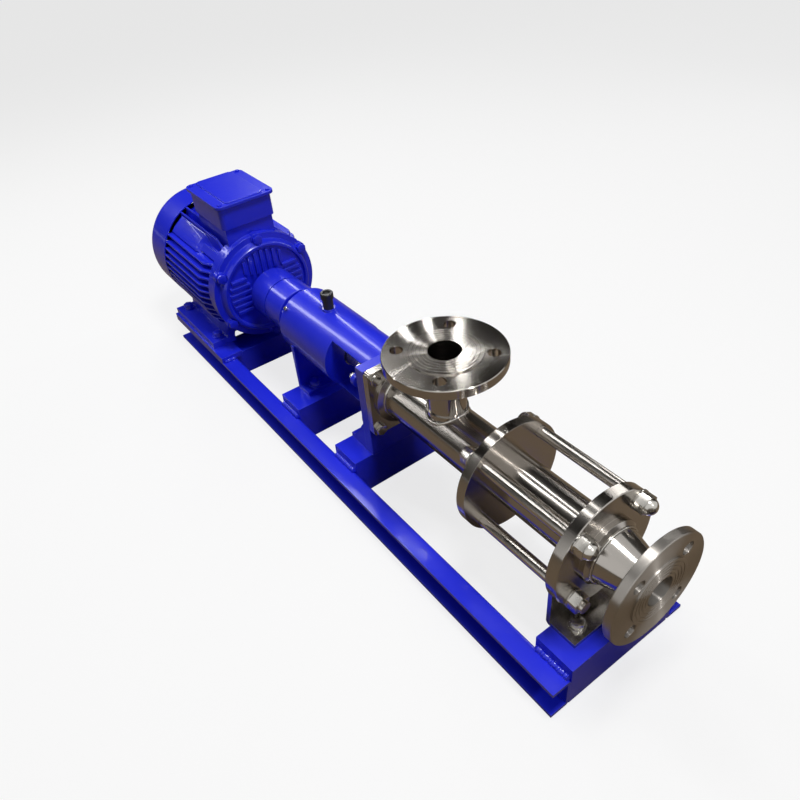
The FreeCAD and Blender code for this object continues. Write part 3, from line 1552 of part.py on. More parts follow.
def connecting_rod():
    """A bar with two eyes; at rest it leans from the pump axis out to the rotor's own axis."""
    run = "joint_rear_back + joint_front_out"
    body = new_body("connecting_rod", "joint_rear_back")
    lean = f"atan(eccentricity / ({run}))"
    body.setExpression("Placement.Rotation.Axis.z", "1")
    body.setExpression("Placement.Rotation.Axis.x", "0")
    body.setExpression("Placement.Rotation.Angle", bound(lean))
    length = f"sqrt(({run}) ^ 2 + eccentricity ^ 2)"
    turn(body, [
        ("-rod_end_reach", "0"),
        ("-rod_end_reach", "rod_end_radius - rod_end_bevel"),
        ("-rod_end_reach + rod_end_bevel", "rod_end_radius"),
        ("rod_end_reach", "rod_end_radius"),
        ("rod_end_reach + rod_taper", "rod_radius"),
        (f"{length} - rod_end_reach - rod_taper", "rod_radius"),
        (f"{length} - rod_end_reach", "rod_end_radius"),
        (f"{length} + rod_end_reach - rod_end_bevel", "rod_end_radius"),
        (f"{length} + rod_end_reach", "rod_end_radius - rod_end_bevel"),
        (f"{length} + rod_end_reach", "0"),
    ])
    eyes = sketch_on(body, "XZ")
    circles(eyes, "joint_pin_hole", [("0", "0"), (length, "0")])
    cut_through(body, eyes)


def joint_pins():
    across = Rotation(Vector(1, 0, 0), 90)
    for label, back, y, reach in (
        ("joint_pin_rear", "joint_rear_back", "0", "shaft_head_radius"),
        ("joint_pin_front", "-joint_front_out", "eccentricity", "rotor_head_radius"),
    ):
        where = (back, f"{y} + {reach}")
        pin = primitive(
            "Part::Cylinder", label, across, where, Radius="joint_pin_radius", Height=f"2 * {reach}"
        )
        pin.Label = label
        pieces.append(pin)


def joint_boots():
    """Bellows sleeves that keep the pumped liquid out of the two pin joints."""
    rear = new_body("joint_boot_rear", "shaft_head_end_back + boot_lap")
    sleeve_and_bellows(rear, "shaft_head_radius + clearance", "1")
    front = new_body("joint_boot_front", "-(rotor_head_out + boot_lap)", "eccentricity")
    sleeve_and_bellows(front, "rotor_head_radius", "-1")


def sleeve_and_bellows(body, seat, way):
    lap = f"{way} * (boot_lap + clearance)"
    turn(body, [
        ("0", seat),
        ("0", f"{seat} + boot_wall"),
        (f"{way} * boot_grip", f"{seat} + boot_wall"),
        (f"{way} * (boot_grip + boot_fold)", f"{seat} + boot_wall - boot_drop"),
        (f"{way} * (boot_grip + 2 * boot_fold)", f"{seat} + boot_wall"),
        (f"{way} * (boot_reach - boot_drop)", "boot_small + boot_wall + boot_drop / 2"),
        (f"{way} * boot_reach", "boot_small + boot_wall"),
        (f"{way} * boot_reach", "boot_small"),
        (f"{way} * (boot_reach - 2 * boot_fold)", "boot_small"),
        (f"{way} * (boot_reach - 3 * boot_fold)", f"{seat} - boot_fold"),
        (lap, f"{seat} - boot_fold"),
        (lap, seat),
    ])


base_frame()
motor_frame()
drive_end_shield()
rear_end_shield()
fan_cowl()
cooling_fan()
motor_inside()
shield_bolts()
motor_foot_bolts()
terminal_box()
coupling()
bearing_housing()
housing_foot_bolts()
oil_cap()
bearing_cover()
drive_shaft()
pump_bearings = ("rear_bearing_back", "front_bearing_back")
bearing_pair("pump", pump_bearings, "drive_shaft_seat", "bearing_radius", "bearing_width")
gland()
suction_casing()
suction_flange()
casing_bolts()
stator()
tie_rod_nuts(tie_rods())
discharge_head()
discharge_flange()
support_foot()
rotor()
connecting_rod()
joint_pins()
joint_boots()
document.recompute()

for item in document.Objects:
    if "Invalid" in item.State or "Error" in item.State:
        raise RuntimeError(f"{item.Label} did not build: {item.State}")
for piece in pieces:
    if piece.Shape.isNull() or not piece.Shape.isValid() or not piece.Shape.Solids:
        raise RuntimeError(f"{piece.Label} has no sound shape")

os.makedirs("parts", exist_ok=True)
for piece in pieces:
    piece.Shape.exportStep(f"parts/{piece.Label}.step")
    box = piece.Shape.BoundBox
    print(f"{piece.Label}: {len(piece.Shape.Solids)} solids, {piece.Shape.Volume / 1000:.1f} cm3, "
          f"x {box.XMin:.1f} to {box.XMax:.1f}")
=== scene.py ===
import json
import math

import bpy
from mathutils import Matrix, Vector

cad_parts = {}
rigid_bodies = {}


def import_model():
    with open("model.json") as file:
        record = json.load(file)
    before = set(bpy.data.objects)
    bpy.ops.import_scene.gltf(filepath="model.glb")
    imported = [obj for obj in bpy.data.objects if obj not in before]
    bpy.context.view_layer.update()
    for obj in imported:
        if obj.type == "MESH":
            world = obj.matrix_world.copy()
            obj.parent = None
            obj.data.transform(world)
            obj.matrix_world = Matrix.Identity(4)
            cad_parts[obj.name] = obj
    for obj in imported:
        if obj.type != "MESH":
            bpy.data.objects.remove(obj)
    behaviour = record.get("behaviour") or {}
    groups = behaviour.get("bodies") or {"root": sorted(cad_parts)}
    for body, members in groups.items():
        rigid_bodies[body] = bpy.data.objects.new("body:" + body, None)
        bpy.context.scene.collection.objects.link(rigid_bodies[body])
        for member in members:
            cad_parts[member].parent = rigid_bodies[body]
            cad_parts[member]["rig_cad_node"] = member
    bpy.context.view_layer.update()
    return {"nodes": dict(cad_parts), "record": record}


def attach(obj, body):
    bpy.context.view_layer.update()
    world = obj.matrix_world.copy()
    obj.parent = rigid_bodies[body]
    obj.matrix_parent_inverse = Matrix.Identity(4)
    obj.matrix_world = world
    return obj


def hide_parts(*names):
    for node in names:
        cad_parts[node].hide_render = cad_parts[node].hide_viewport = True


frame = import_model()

nodes = frame["nodes"]
slot_of = {item["node"]: item["material_slot"] for item in frame["record"]["subparts"]}
body_of = {
    node: body
    for body, members in frame["record"]["behaviour"]["bodies"].items()
    for node in members
}

MM = 0.001
SUCTION_X = 0.2345
PUMP_AXIS = 0.172

# Turns that point a primitive's own Z up, along X or along Y
UPRIGHT = (0, 0, 0)
ALONG_X = (0, math.pi / 2, 0)
ALONG_Y = (0, math.pi / 2, math.pi / 2)


def at(out, y=0.0, up=0.0):
    """A point from millimetres: out from the suction axis, across, and above the pump axis."""
    return Vector((SUCTION_X + out * MM, y * MM, PUMP_AXIS + up * MM))


# Camera at the photograph's viewing angle

TOWARDS_CAMERA = Vector((0.6509, -0.4226, 0.6307)).normalized()
CAMERA_PLACE = at(593.35, -460.09, 663.99)
CAMERA_ROLL = math.radians(-5.74)
LENS = 32.594
SENSOR = 36
FAR_CLIP = 50


def place_camera():
    level = Vector((0, 0, 1)).cross(TOWARDS_CAMERA).normalized()
    up = TOWARDS_CAMERA.cross(level)
    across = level * math.cos(CAMERA_ROLL) + up * math.sin(CAMERA_ROLL)
    upward = up * math.cos(CAMERA_ROLL) - level * math.sin(CAMERA_ROLL)
    data = bpy.data.cameras.new("photo_camera")
    data.lens = LENS
    data.sensor_width = SENSOR
    data.clip_end = FAR_CLIP
    camera = bpy.data.objects.new("photo_camera", data)
    turned = Matrix((across, upward, TOWARDS_CAMERA)).transposed().to_4x4()
    turned.translation = CAMERA_PLACE
    camera.matrix_world = turned
    bpy.context.scene.collection.objects.link(camera)
    bpy.context.scene.camera = camera


# Studio

WHITE = (1, 1, 1)
FLOOR_WIDTH = 14
FLOOR_LEVEL = -0.0005        # just under the rails, so that no two faces lie in one plane
FLOOR_CARD_LEVEL = -0.0002
FLOOR_WHITE_SHARE = 0.78     # how much of the seen floor is plain white, without the shadow
FILL_LIGHT = ((1, 0.98, 0.95), 0.045)
CARD_COLOUR = (0.10, 0.085, 0.07)
FLOOR_CARD_COLOUR = (0.24, 0.18, 0.12)
GLINT_DISTANCE = 2.2
GLINT_SIZE = 0.03
GLINT_POWER = 0.2
# Each bright line on the flange: the way it runs, in degrees, and how far its lamp leans out
GLINTS = ((-23, 0.08), (157, 0.06), (118, 0.07), (-60, 0.08), (80, 0.08), (-114, 0.07))


def shown_rays(tree):
    """1 for what the camera, a gloss or a glass sees, 0 for the light that falls on the pump."""
    rays = tree.nodes.new("ShaderNodeLightPath")
    total = rays.outputs["Is Camera Ray"]
    for kind in ("Is Glossy Ray", "Is Transmission Ray"):
        add = tree.nodes.new("ShaderNodeMath")
        add.operation = "ADD"
        add.use_clamp = True
        tree.links.new(total, add.inputs[0])
        tree.links.new(rays.outputs[kind], add.inputs[1])
        total = add.outputs[0]
    return total


def shown_or_lit(tree, shown, lit):
    """One shader for what is seen, and another for the light that comes from there."""
    mix = tree.nodes.new("ShaderNodeMixShader")
    tree.links.new(shown_rays(tree), mix.inputs["Fac"])
    tree.links.new(lit, mix.inputs[1])
    tree.links.new(shown, mix.inputs[2])
    return mix.outputs[0]


def glow(tree, kind, colour, strength):
    light = tree.nodes.new(kind)
    light.inputs["Color"].default_value = (*colour, 1)
    light.inputs["Strength"].default_value = strength
    return light.outputs[0]


def sky():
    world = bpy.data.worlds.new("studio")
    bpy.context.scene.world = world
    world.use_nodes = True
    tree = world.node_tree
    tree.nodes.clear()
    output = tree.nodes.new("ShaderNodeOutputWorld")
    seen = glow(tree, "ShaderNodeBackground", WHITE, 1.0)
    fill = glow(tree, "ShaderNodeBackground", *FILL_LIGHT)
    tree.links.new(shown_or_lit(tree, seen, fill), output.inputs["Surface"])


def floor():
    """Pale where it is seen, with the pump's shadow on it; darker for the light it throws back."""
    bpy.ops.mesh.primitive_plane_add(size=FLOOR_WIDTH, location=(0, 0, FLOOR_LEVEL))
    ground = bpy.context.object
    ground.name = "studio_floor"
    material = bpy.data.materials.new("pale_floor")
    material.use_nodes = True
    tree = material.node_tree
    pale = tree.nodes["Principled BSDF"]
    pale.inputs["Base Color"].default_value = (0.85, 0.85, 0.85, 1)
    pale.inputs["Roughness"].default_value = 0.95
    pale.inputs["Specular IOR Level"].default_value = 0.0
    seen = tree.nodes.new("ShaderNodeMixShader")
    seen.inputs["Fac"].default_value = FLOOR_WHITE_SHARE
    tree.links.new(pale.outputs[0], seen.inputs[1])
    tree.links.new(glow(tree, "ShaderNodeEmission", WHITE, 1.0), seen.inputs[2])
    bounce = tree.nodes.new("ShaderNodeBsdfDiffuse")
    bounce.inputs["Color"].default_value = (0.13, 0.13, 0.13, 1)
    surface = shown_or_lit(tree, seen.outputs[0], bounce.outputs[0])
    tree.links.new(surface, tree.nodes["Material Output"].inputs["Surface"])
    ground.data.materials.append(material)


def softbox(name, place, aim, size, power):
    """A soft lamp that the camera doesn't see."""
    data = bpy.data.lights.new(name, "AREA")
    data.shape = "RECTANGLE"
    data.size, data.size_y = size
    data.energy = power
    lamp = bpy.data.objects.new(name, data)
    lamp.location = place
    lamp.rotation_euler = (Vector(aim) - Vector(place)).to_track_quat("-Z", "Y").to_euler()
    lamp.visible_camera = False
    bpy.context.scene.collection.objects.link(lamp)


def dark_card(name, place, turned, size, colour=CARD_COLOUR):
    """A dark studio card that only shows in polished surfaces, as the side of a room would."""
    bpy.ops.mesh.primitive_plane_add(size=1, location=place)
    card = bpy.context.object
    card.name = name
    card.rotation_euler = turned
    card.scale = (*size, 1)
    material = bpy.data.materials.new(name)
    material.use_nodes = True
    shader = material.node_tree.nodes["Principled BSDF"]
    shader.inputs["Base Color"].default_value = (*colour, 1)
    shader.inputs["Roughness"].default_value = 0.9
    card.data.materials.append(material)
    card.visible_camera = False
    card.visible_diffuse = False
    card.visible_transmission = False
    card.visible_shadow = False


def glints():
    """Small lamps that each draw one bright line across the turned face of the suction flange."""
    flange_top = at(0, 0, 130)
    for degrees, tilt in GLINTS:
        turn = math.radians(degrees)
        half = Vector((tilt * math.cos(turn), tilt * math.sin(turn), 1)).normalized()
        way = 2 * half.dot(TOWARDS_CAMERA) * half - TOWARDS_CAMERA
        place = flange_top + GLINT_DISTANCE * way
        softbox(f"glint_{degrees}", place, flange_top, (GLINT_SIZE, GLINT_SIZE), GLINT_POWER)


def studio():
    sky()
    floor()
    middle = (0.2, 0, 0.15)
    discharge_face = at(353)
    softbox("overhead", (-1.2, -0.45, 1.75), middle, (0.2, 2.0), 13)
    softbox("overhead_strip", (-1.2, 0.6, 1.75), middle, (0.12, 2.0), 8)
    softbox("side_strip", (-1.25, -1.55, 1.05), middle, (0.06, 1.2), 2.2)
    softbox("key", (0.6, 0.05, 2.3), middle, (0.5, 0.5), 27)
    softbox("front_lamp", (1.83, 0.2, 1.72), discharge_face, (0.2, 0.2), 7)
    softbox("far_strip", (-0.3, 1.7, 1.2), middle, (0.1, 1.4), 3)
    glints()
    dark_card("floor_card", (-0.4, 0, FLOOR_CARD_LEVEL), UPRIGHT, (7.0, 7.0), FLOOR_CARD_COLOUR)
    dark_card("far_card", (-1.5, 2.4, 1.5), ALONG_Y, (2.8, 5.0))
    dark_card("near_card", (-2.6, -2.4, 1.5), ALONG_Y, (2.8, 4.0))
    dark_card("rear_card", (-4.4, 0, 1.5), ALONG_X, (2.8, 5.0))
    dark_card("ceiling_card", (-2.0, 0, 2.6), UPRIGHT, (5.0, 5.0))


# Finishes

NOISE_RANGE = (0.3, 0.7)     # where nearly all of a noise pattern's values lie
EDGE_RANGE = (0.98, 0.86)    # how far an eased normal agrees with the face's, from flat to edge
WAVE_PERIOD = math.tau / 20  # of a wave pattern with scale 1
# Sockets of a Mix node that mixes colours
MIX_FACTOR, MIX_FIRST, MIX_SECOND, MIX_RESULT = 0, 6, 7, 2


def toned(colour, tone):
    return tuple(tone * channel for channel in colour)


class Finish:
    """One principled shader and the patterns that feed it, on Object coordinates in metres."""

    def __init__(self, name, colour, metallic, roughness):
        self.material = bpy.data.materials.new(name)
        self.material.use_nodes = True
        self.tree = self.material.node_tree
        self.shader = self.tree.nodes["Principled BSDF"]
        self.set("Base Color", (*colour, 1))
        self.set("Metallic", metallic)
        self.set("Roughness", roughness)

    def set(self, socket, value):
        self.shader.inputs[socket].default_value = value

    def feed(self, socket, output):
        self.tree.links.new(output, self.shader.inputs[socket])

    def node(self, kind, **settings):
        made = self.tree.nodes.new(kind)
        for setting, value in settings.items():
            setattr(made, setting, value)
        return made

    def place(self, stretch=(1, 1, 1)):
        coordinates = self.node("ShaderNodeTexCoord")
        mapping = self.node("ShaderNodeMapping", vector_type="POINT")
        mapping.inputs["Scale"].default_value = stretch
        self.tree.links.new(coordinates.outputs["Object"], mapping.inputs["Vector"])
        return mapping.outputs["Vector"]

    def noise(self, scale, detail, stretch=(1, 1, 1)):
        texture = self.node("ShaderNodeTexNoise")
        texture.inputs["Scale"].default_value = scale
        texture.inputs["Detail"].default_value = detail
        self.tree.links.new(self.place(stretch), texture.inputs["Vector"])
        return texture.outputs["Fac"]

    def bands(self, pitch, wobble=0.0):
        """Bands across the X axis, one every pitch metres."""
        texture = self.node("ShaderNodeTexWave", wave_type="BANDS", bands_direction="X")
        texture.inputs["Scale"].default_value = WAVE_PERIOD / pitch
        texture.inputs["Distortion"].default_value = wobble
        self.tree.links.new(self.place(), texture.inputs["Vector"])
        return texture.outputs["Fac"]

    def levels(self, value, source, result):
        """Carries a value over from one range of numbers to another, and no further."""
        levels = self.node("ShaderNodeMapRange")
        sockets = ("From Min", "From Max", "To Min", "To Max")
        for socket, number in zip(sockets, (*source, *result)):
            levels.inputs[socket].default_value = number
        self.tree.links.new(value, levels.inputs["Value"])
        return levels.outputs["Result"]

    def vary_roughness(self, noise, least, most):
        self.feed("Roughness", self.levels(noise, NOISE_RANGE, (least, most)))

    def between(self, factor, first, second):
        mix = self.node("ShaderNodeMix", data_type="RGBA")
        self.tree.links.new(factor, mix.inputs[MIX_FACTOR])
        for number, colour in ((MIX_FIRST, first), (MIX_SECOND, second)):
            if isinstance(colour, tuple):
                mix.inputs[number].default_value = (*colour, 1)
            else:
                self.tree.links.new(colour, mix.inputs[number])
        return mix.outputs[MIX_RESULT]

    def eased_edges(self, radius):
        """A normal that is rounded over the sharp edges."""
        bevel = self.node("ShaderNodeBevel", samples=4)
        bevel.inputs["Radius"].default_value = radius
        return bevel.outputs["Normal"]

    def worn_and_highlit_edges(self, eased, most):
        """How much paler an edge is painted, as worn paint and as a painted highlight: nothing on
        a flat, most where the edge is sharp.
        """
        geometry = self.node("ShaderNodeNewGeometry")
        dot = self.node("ShaderNodeVectorMath", operation="DOT_PRODUCT")
        self.tree.links.new(eased, dot.inputs[0])
        self.tree.links.new(geometry.outputs["Normal"], dot.inputs[1])
        return self.levels(dot.outputs["Value"], EDGE_RANGE, (0.0, most))

    def relief(self, height, strength, distance, normal=None):
        bump = self.node("ShaderNodeBump")
        bump.inputs["Strength"].default_value = strength
        bump.inputs["Distance"].default_value = distance
        self.tree.links.new(height, bump.inputs["Height"])
        if normal is not None:
            self.tree.links.new(normal, bump.inputs["Normal"])
        return bump.outputs["Normal"]


def blue_paint(name, lumps=0.0, rounding=0.0009, turning=None):
    """Glossy enamel with orange peel, paler on the edges, partly as thinner paint and partly as a
    painted highlight.

    Castings and welds show lumps under it, and turned pieces show grooves one turning apart.
    """
    finish = Finish(name, (0.012, 0.024, 0.7), 0, 0.28)
    finish.set("Specular IOR Level", 0.35)
    finish.set("Coat Weight", 0.55)
    finish.set("Coat Roughness", 0.12)
    eased = finish.eased_edges(rounding)
    body = finish.between(finish.noise(5, 2), (0.011, 0.021, 0.70), (0.014, 0.026, 0.80))
    edge_wear_and_highlight = finish.worn_and_highlit_edges(eased, 0.5)
    # Edges are mixed towards a paler blue: partly worn paint, partly a painted highlight.
    finish.feed("Base Color", finish.between(edge_wear_and_highlight, body, (0.08, 0.12, 0.95)))
    finish.vary_roughness(finish.noise(45, 3), 0.33, 0.37)
    normal = finish.relief(finish.noise(200, 1), 0.05, 0.0005, eased)
    if lumps:
        normal = finish.relief(finish.noise(120, 3), lumps, 0.0015, normal)
    if turning:
        normal = finish.relief(finish.bands(turning), 0.35, 0.0003, normal)
    finish.feed("Normal", normal)
    return finish


def stainless(name, axis, spread, rough, tone=1.0):
    """Polished stainless; with a spread, turning round the axis draws its highlights out."""
    finish = Finish(name, (0.42, 0.4, 0.37), 1, 0.2)
    finish.set("Anisotropic", spread)
    finish.set("Anisotropic Rotation", 0.25)
    tangent = finish.node("ShaderNodeTangent", direction_type="RADIAL", axis=axis)
    finish.feed("Tangent", tangent.outputs["Tangent"])
    clouds = finish.noise(18, 3)
    dark, light = toned((0.39, 0.365, 0.335), tone), toned((0.42, 0.395, 0.365), tone)
    finish.feed("Base Color", finish.between(clouds, dark, light))
    finish.vary_roughness(clouds, *rough)
    finish.feed("Normal", finish.eased_edges(0.0006))
    return finish


def bright_steel(name, colour, rough, grain):
    finish = Finish(name, colour, 1, rough)
    stain = finish.noise(60, 4)
    finish.feed("Base Color", finish.between(stain, toned(colour, 0.8), colour))
    finish.vary_roughness(finish.noise(150, 3), rough * 0.75, rough * 1.3)
    eased = finish.eased_edges(0.0004)
    finish.feed("Normal", finish.relief(finish.noise(grain, 2), 0.08, 0.0003, eased))
    return finish


def ground_steel():
    """Marks of the grinding wheel, close together along the shafts."""
    finish = Finish("ground_steel", (0.5, 0.49, 0.47), 1, 0.25)
    marks = finish.noise(12, 3, (90, 1, 1))
    finish.feed("Base Color", finish.between(marks, (0.4, 0.39, 0.37), (0.55, 0.54, 0.52)))
    finish.vary_roughness(marks, 0.18, 0.34)
    finish.feed("Normal", finish.relief(marks, 0.12, 0.0002))
    return finish


def moulded(name, colour, rough, grain, depth):
    """Rubber or plastic with a moulded grain."""
    finish = Finish(name, colour, 0, rough)
    tone = finish.noise(40, 3)
    finish.feed("Base Color", finish.between(tone, toned(colour, 0.7), toned(colour, 1.3)))
    finish.vary_roughness(tone, rough - 0.08, rough + 0.08)
    eased = finish.eased_edges(0.0006)
    finish.feed("Normal", finish.relief(finish.noise(grain, 2), depth, 0.0004, eased))
    return finish


def braided_packing():
    finish = Finish("braided_packing", (0.32, 0.3, 0.25), 0, 0.85)
    weave = finish.noise(500, 1, (1, 2.5, 2.5))
    finish.feed("Base Color", finish.between(weave, (0.2, 0.19, 0.16), (0.42, 0.4, 0.34)))
    finish.feed("Normal", finish.relief(weave, 0.6, 0.0008))
    return finish


def varnished_windings():
    finish = Finish("varnished_windings", (0.45, 0.16, 0.05), 0.6, 0.35)
    strands = finish.bands(0.0012, 2.0)
    finish.feed("Base Color", finish.between(strands, (0.22, 0.07, 0.02), (0.62, 0.27, 0.1)))
    finish.feed("Normal", finish.relief(strands, 0.5, 0.0005))
    return finish


def laminated_core():
    finish = Finish("laminated_core", (0.25, 0.25, 0.26), 0.8, 0.5)
    sheets = finish.bands(0.0007, 0.1)
    finish.feed("Base Color", finish.between(sheets, (0.12, 0.12, 0.13), (0.34, 0.34, 0.36)))
    finish.feed("Normal", finish.relief(sheets, 0.4, 0.0002))
    return finish


FINISHES = {
    "cast_paint": blue_paint("cast_blue_paint", lumps=0.12, rounding=0.0018),
    "sheet_paint": blue_paint("sheet_blue_paint"),
    "weld_paint": blue_paint("weld_blue_paint", lumps=0.3),
    "turned_paint": blue_paint("turned_blue_paint", turning=0.0022),
    "upright_steel": stainless("turned_upright_stainless", "Z", 0.97, (0.11, 0.116)),
    "flange_steel": stainless("turned_stainless", "X", 0.97, (0.36, 0.38)),
    "tube_steel": stainless("polished_stainless", "X", 0.7, (0.17, 0.185)),
    "plate_steel": bright_steel("bent_stainless_plate", (0.5, 0.48, 0.45), 0.2, 300),
    "rod_steel": stainless("drawn_stainless_rod", "X", 0.0, (0.2, 0.22), tone=1.3),
    "fasteners": bright_steel("bright_fasteners", (0.56, 0.54, 0.5), 0.22, 500),
    "ground_steel": ground_steel(),
    "rubber": moulded("black_rubber", (0.02, 0.02, 0.02), 0.6, 300, 0.2),
    "plastic": moulded("black_plastic", (0.012, 0.012, 0.013), 0.32, 700, 0.12),
    "packing": braided_packing(),
    "windings": varnished_windings(),
    "core": laminated_core(),
}

# The finish of each node: by its slot in the record, and by name where one slot has several looks
SLOT_FINISH = {
    "blue_paint": "sheet_paint",
    "stainless": "tube_steel",
    "fasteners": "fasteners",
    "machined_steel": "ground_steel",
    "rubber": "rubber",
    "black_plastic": "plastic",
    "packing": "packing",
    "windings": "windings",
    "core_steel": "core",
}
NODE_FINISH = {
    "motor_frame": "cast_paint",
    "drive_end_shield": "cast_paint",
    "rear_end_shield": "cast_paint",
    "bearing_housing": "cast_paint",
    "bearing_cover": "cast_paint",
    "terminal_box": "cast_paint",
    "terminal_box_lid": "cast_paint",
    "gland_follower": "cast_paint",
    "coupling_motor_hub": "turned_paint",
    "coupling_pump_hub": "turned_paint",
    "suction_flange": "upright_steel",
    "discharge_flange": "flange_steel",
    "support_foot": "plate_steel",
    "tie_rods": "rod_steel",
}


def finish_for(node):
    return FINISHES[NODE_FINISH.get(node, SLOT_FINISH[slot_of[node]])].material


# Pieces taken over from the frame

MERGE_DISTANCE = 0.000002
SMOOTH_ANGLE = math.radians(32)
BEVEL_FROM_ANGLE = math.radians(40)


def only(piece):
    bpy.ops.object.select_all(action="DESELECT")
    piece.select_set(True)
    bpy.context.view_layer.objects.active = piece


def seated(piece, body, material):
    """Rides a finished piece on its body and finish."""
    piece.data.materials.clear()
    piece.data.materials.append(material)
    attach(piece, body)


def smoothed(node, name, bevel=None):
    """A merged and smoothed copy of a CAD node, with its edges bevelled where that is asked."""
    only(nodes[node])
    bpy.ops.object.duplicate()
    piece = bpy.context.object
    piece.name = name
    del piece["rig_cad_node"]
    bpy.ops.object.mode_set(mode="EDIT")
    bpy.ops.mesh.select_all(action="SELECT")
    bpy.ops.mesh.remove_doubles(threshold=MERGE_DISTANCE)
    bpy.ops.mesh.select_all(action="DESELECT")
    bpy.ops.object.mode_set(mode="OBJECT")
    bpy.ops.mesh.customdata_custom_splitnormals_clear()
    if bevel:
        modifier = piece.modifiers.new("eased", "BEVEL")
        modifier.width = bevel
        modifier.segments = 2
        modifier.limit_method = "ANGLE"
        modifier.angle_limit = BEVEL_FROM_ANGLE
        bpy.ops.object.modifier_apply(modifier=modifier.name)
    bpy.ops.object.shade_smooth_by_angle(angle=SMOOTH_ANGLE)
    seated(piece, body_of[node], finish_for(node))
    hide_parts(node)


# Each CAD node that is shown as a smoothed copy, and the copy's name
SMOOTHED = {
    "rail_near": "near_channel",
    "rail_far": "far_channel",
    "motor_frame": "motor_frame_casting",
    "drive_end_shield": "ribbed_end_shield",
    "fan_cowl": "pressed_cowl",
    "shield_bolts": "shield_bolt_heads",
    "motor_foot_bolts": "motor_holding_bolts",
    "terminal_box": "terminal_box_casting",
    "terminal_box_lid": "terminal_lid_casting",
    "terminal_lid_screws": "terminal_lid_screw_heads",
    "cable_entry_plug": "entry_plug",
    "coupling_motor_hub": "motor_side_hub",
    "coupling_pump_hub": "pump_side_hub",
    "bearing_housing": "housing_casting",
    "oil_cap": "oil_filler_cap",
    "bearing_cover": "rear_cover",
    "bearing_cover_screws": "rear_cover_screws",
    "drive_shaft": "pump_shaft",
    "gland_follower": "gland_plate",
    "gland_studs": "gland_stud_pair",
    "suction_casing": "suction_casing_weldment",
    "suction_flange": "suction_neck_and_flange",
    "casing_bolts": "square_flange_bolts",
    "stator_tube": "stator_barrel",
    "tie_rods": "stay_rods",
    "dome_nuts": "domed_rod_nuts",
    "lower_nuts": "plain_rod_nuts",
    "rear_nuts": "rear_rod_nuts",
    "discharge_head": "discharge_reducer",
    "discharge_flange": "discharge_flange_ring",
    "support_foot": "bent_support_foot",
    "support_foot_bolts": "support_foot_screws",
    "housing_foot_bolts": "housing_foot_screws",
    "rotor": "helical_rotor",
}
# The width of the bevel on the fasteners' edges, in metres
BEVELLED = {
    "shield_bolts": 0.0006,
    "motor_foot_bolts": 0.0006,
    "bearing_cover_screws": 0.0005,
    "gland_studs": 0.0006,
    "casing_bolts": 0.0008,
    "dome_nuts": 0.0006,
    "lower_nuts": 0.0009,
    "rear_nuts": 0.0009,
    "support_foot_bolts": 0.0008,
    "housing_foot_bolts": 0.0008,
}


# Welds and the grub screw

BEAD_SIDES = 10
RINGS_PER_DROP = 3
BEAD_SMOOTH_ANGLE = math.radians(80)
RIPPLES = (0.22, 0.0, 0.3, 0.02, 0.16, -0.08)   # shares of a bead's thickness, ring after ring
RUN_RIPPLE = 1.8             # a straight bead is rougher than a ring by this much
RUN_TIP = 0.35               # the thickness left at its two ends

# Beads round the pipes, in millimetres: place from the suction axis, radius, thickness, drops
PIPE_BEADS = {
    "square_flange_weld_bead": (-97, 38.6, 1.9, 34),
    "casing_flange_weld_bead": (110.6, 38.4, 1.5, 34),
    "reducer_weld_bead": (290.4, 38.2, 1.6, 34),
    "discharge_neck_weld_bead": (337.6, 28.4, 1.7, 28),
}
NECK_BEAD_HEIGHT = 38
CASING_RADIUS = 38 * MM

# The base, in millimetres from the suction axis, the middle and the pump axis
RAIL_TOP = -122.0
RAIL_WEB = 89.0
BEAM_STARTS = {"front": 264.0, "front_leg": -179.0, "rear_leg": -350.0}
BEAM_WIDTH = 58.0
BEAM_WELD_INSET = 2.0
BEAM_WELD_OUT = 1.2
BEAM_WELD_RISE = 1.4
PAD_EDGE = -531.2
PAD_WELD_START = 91.0
PAD_WELD_END = 116.0
PAD_WELD_RISE = 1.0


def select_vertices(piece, wanted):
    """Leaves edit mode on, with just the wanted vertices of the piece selected."""
    bpy.ops.object.mode_set(mode="EDIT")
    bpy.ops.mesh.select_mode(type="VERT")
    bpy.ops.mesh.select_all(action="DESELECT")
    bpy.ops.object.mode_set(mode="OBJECT")
    for vertex in piece.data.vertices:
        vertex.select = wanted(vertex)
    bpy.ops.object.mode_set(mode="EDIT")


def new_piece(name):
    """Names the primitive that was just added, and puts its place into its mesh."""
    piece = bpy.context.object
    piece.name = name
    only(piece)
    bpy.ops.object.transform_apply(location=True, rotation=True, scale=True)
    return piece


def ripple(piece, ring_of, height):
    """Fattens the rings of a bead unevenly, as the drops of a hand weld lie."""
    for number, share in enumerate(RIPPLES):
        select_vertices(piece, lambda vertex: ring_of(vertex) % len(RIPPLES) == number)
        bpy.ops.transform.shrink_fatten(value=share * height)
        bpy.ops.object.mode_set(mode="OBJECT")


def bead_ring(name, centre, turned, radius, thickness, drops, saddle=None):
    """A weld bead round a pipe; on a saddle it dips with the barrel that the pipe stands on."""
    rings = drops * RINGS_PER_DROP
    bpy.ops.object.select_all(action="DESELECT")
    bpy.ops.mesh.primitive_torus_add(
        major_segments=rings, minor_segments=BEAD_SIDES,
        major_radius=radius, minor_radius=thickness, location=centre, rotation=turned,
    )
    piece = new_piece(name)
    ripple(piece, lambda vertex: vertex.index // BEAD_SIDES, thickness)
    if saddle:
        for ring in range(rings):
            across = radius * math.sin(math.tau * ring / rings)
            drop = math.sqrt(saddle ** 2 - across ** 2) - saddle
            select_vertices(piece, lambda vertex: vertex.index // BEAD_SIDES == ring)
            bpy.ops.transform.translate(value=(0, 0, drop))
            bpy.ops.object.mode_set(mode="OBJECT")
    bpy.ops.object.shade_smooth_by_angle(angle=BEAD_SMOOTH_ANGLE)
    seated(piece, "pump_set", FINISHES["fasteners"].material)


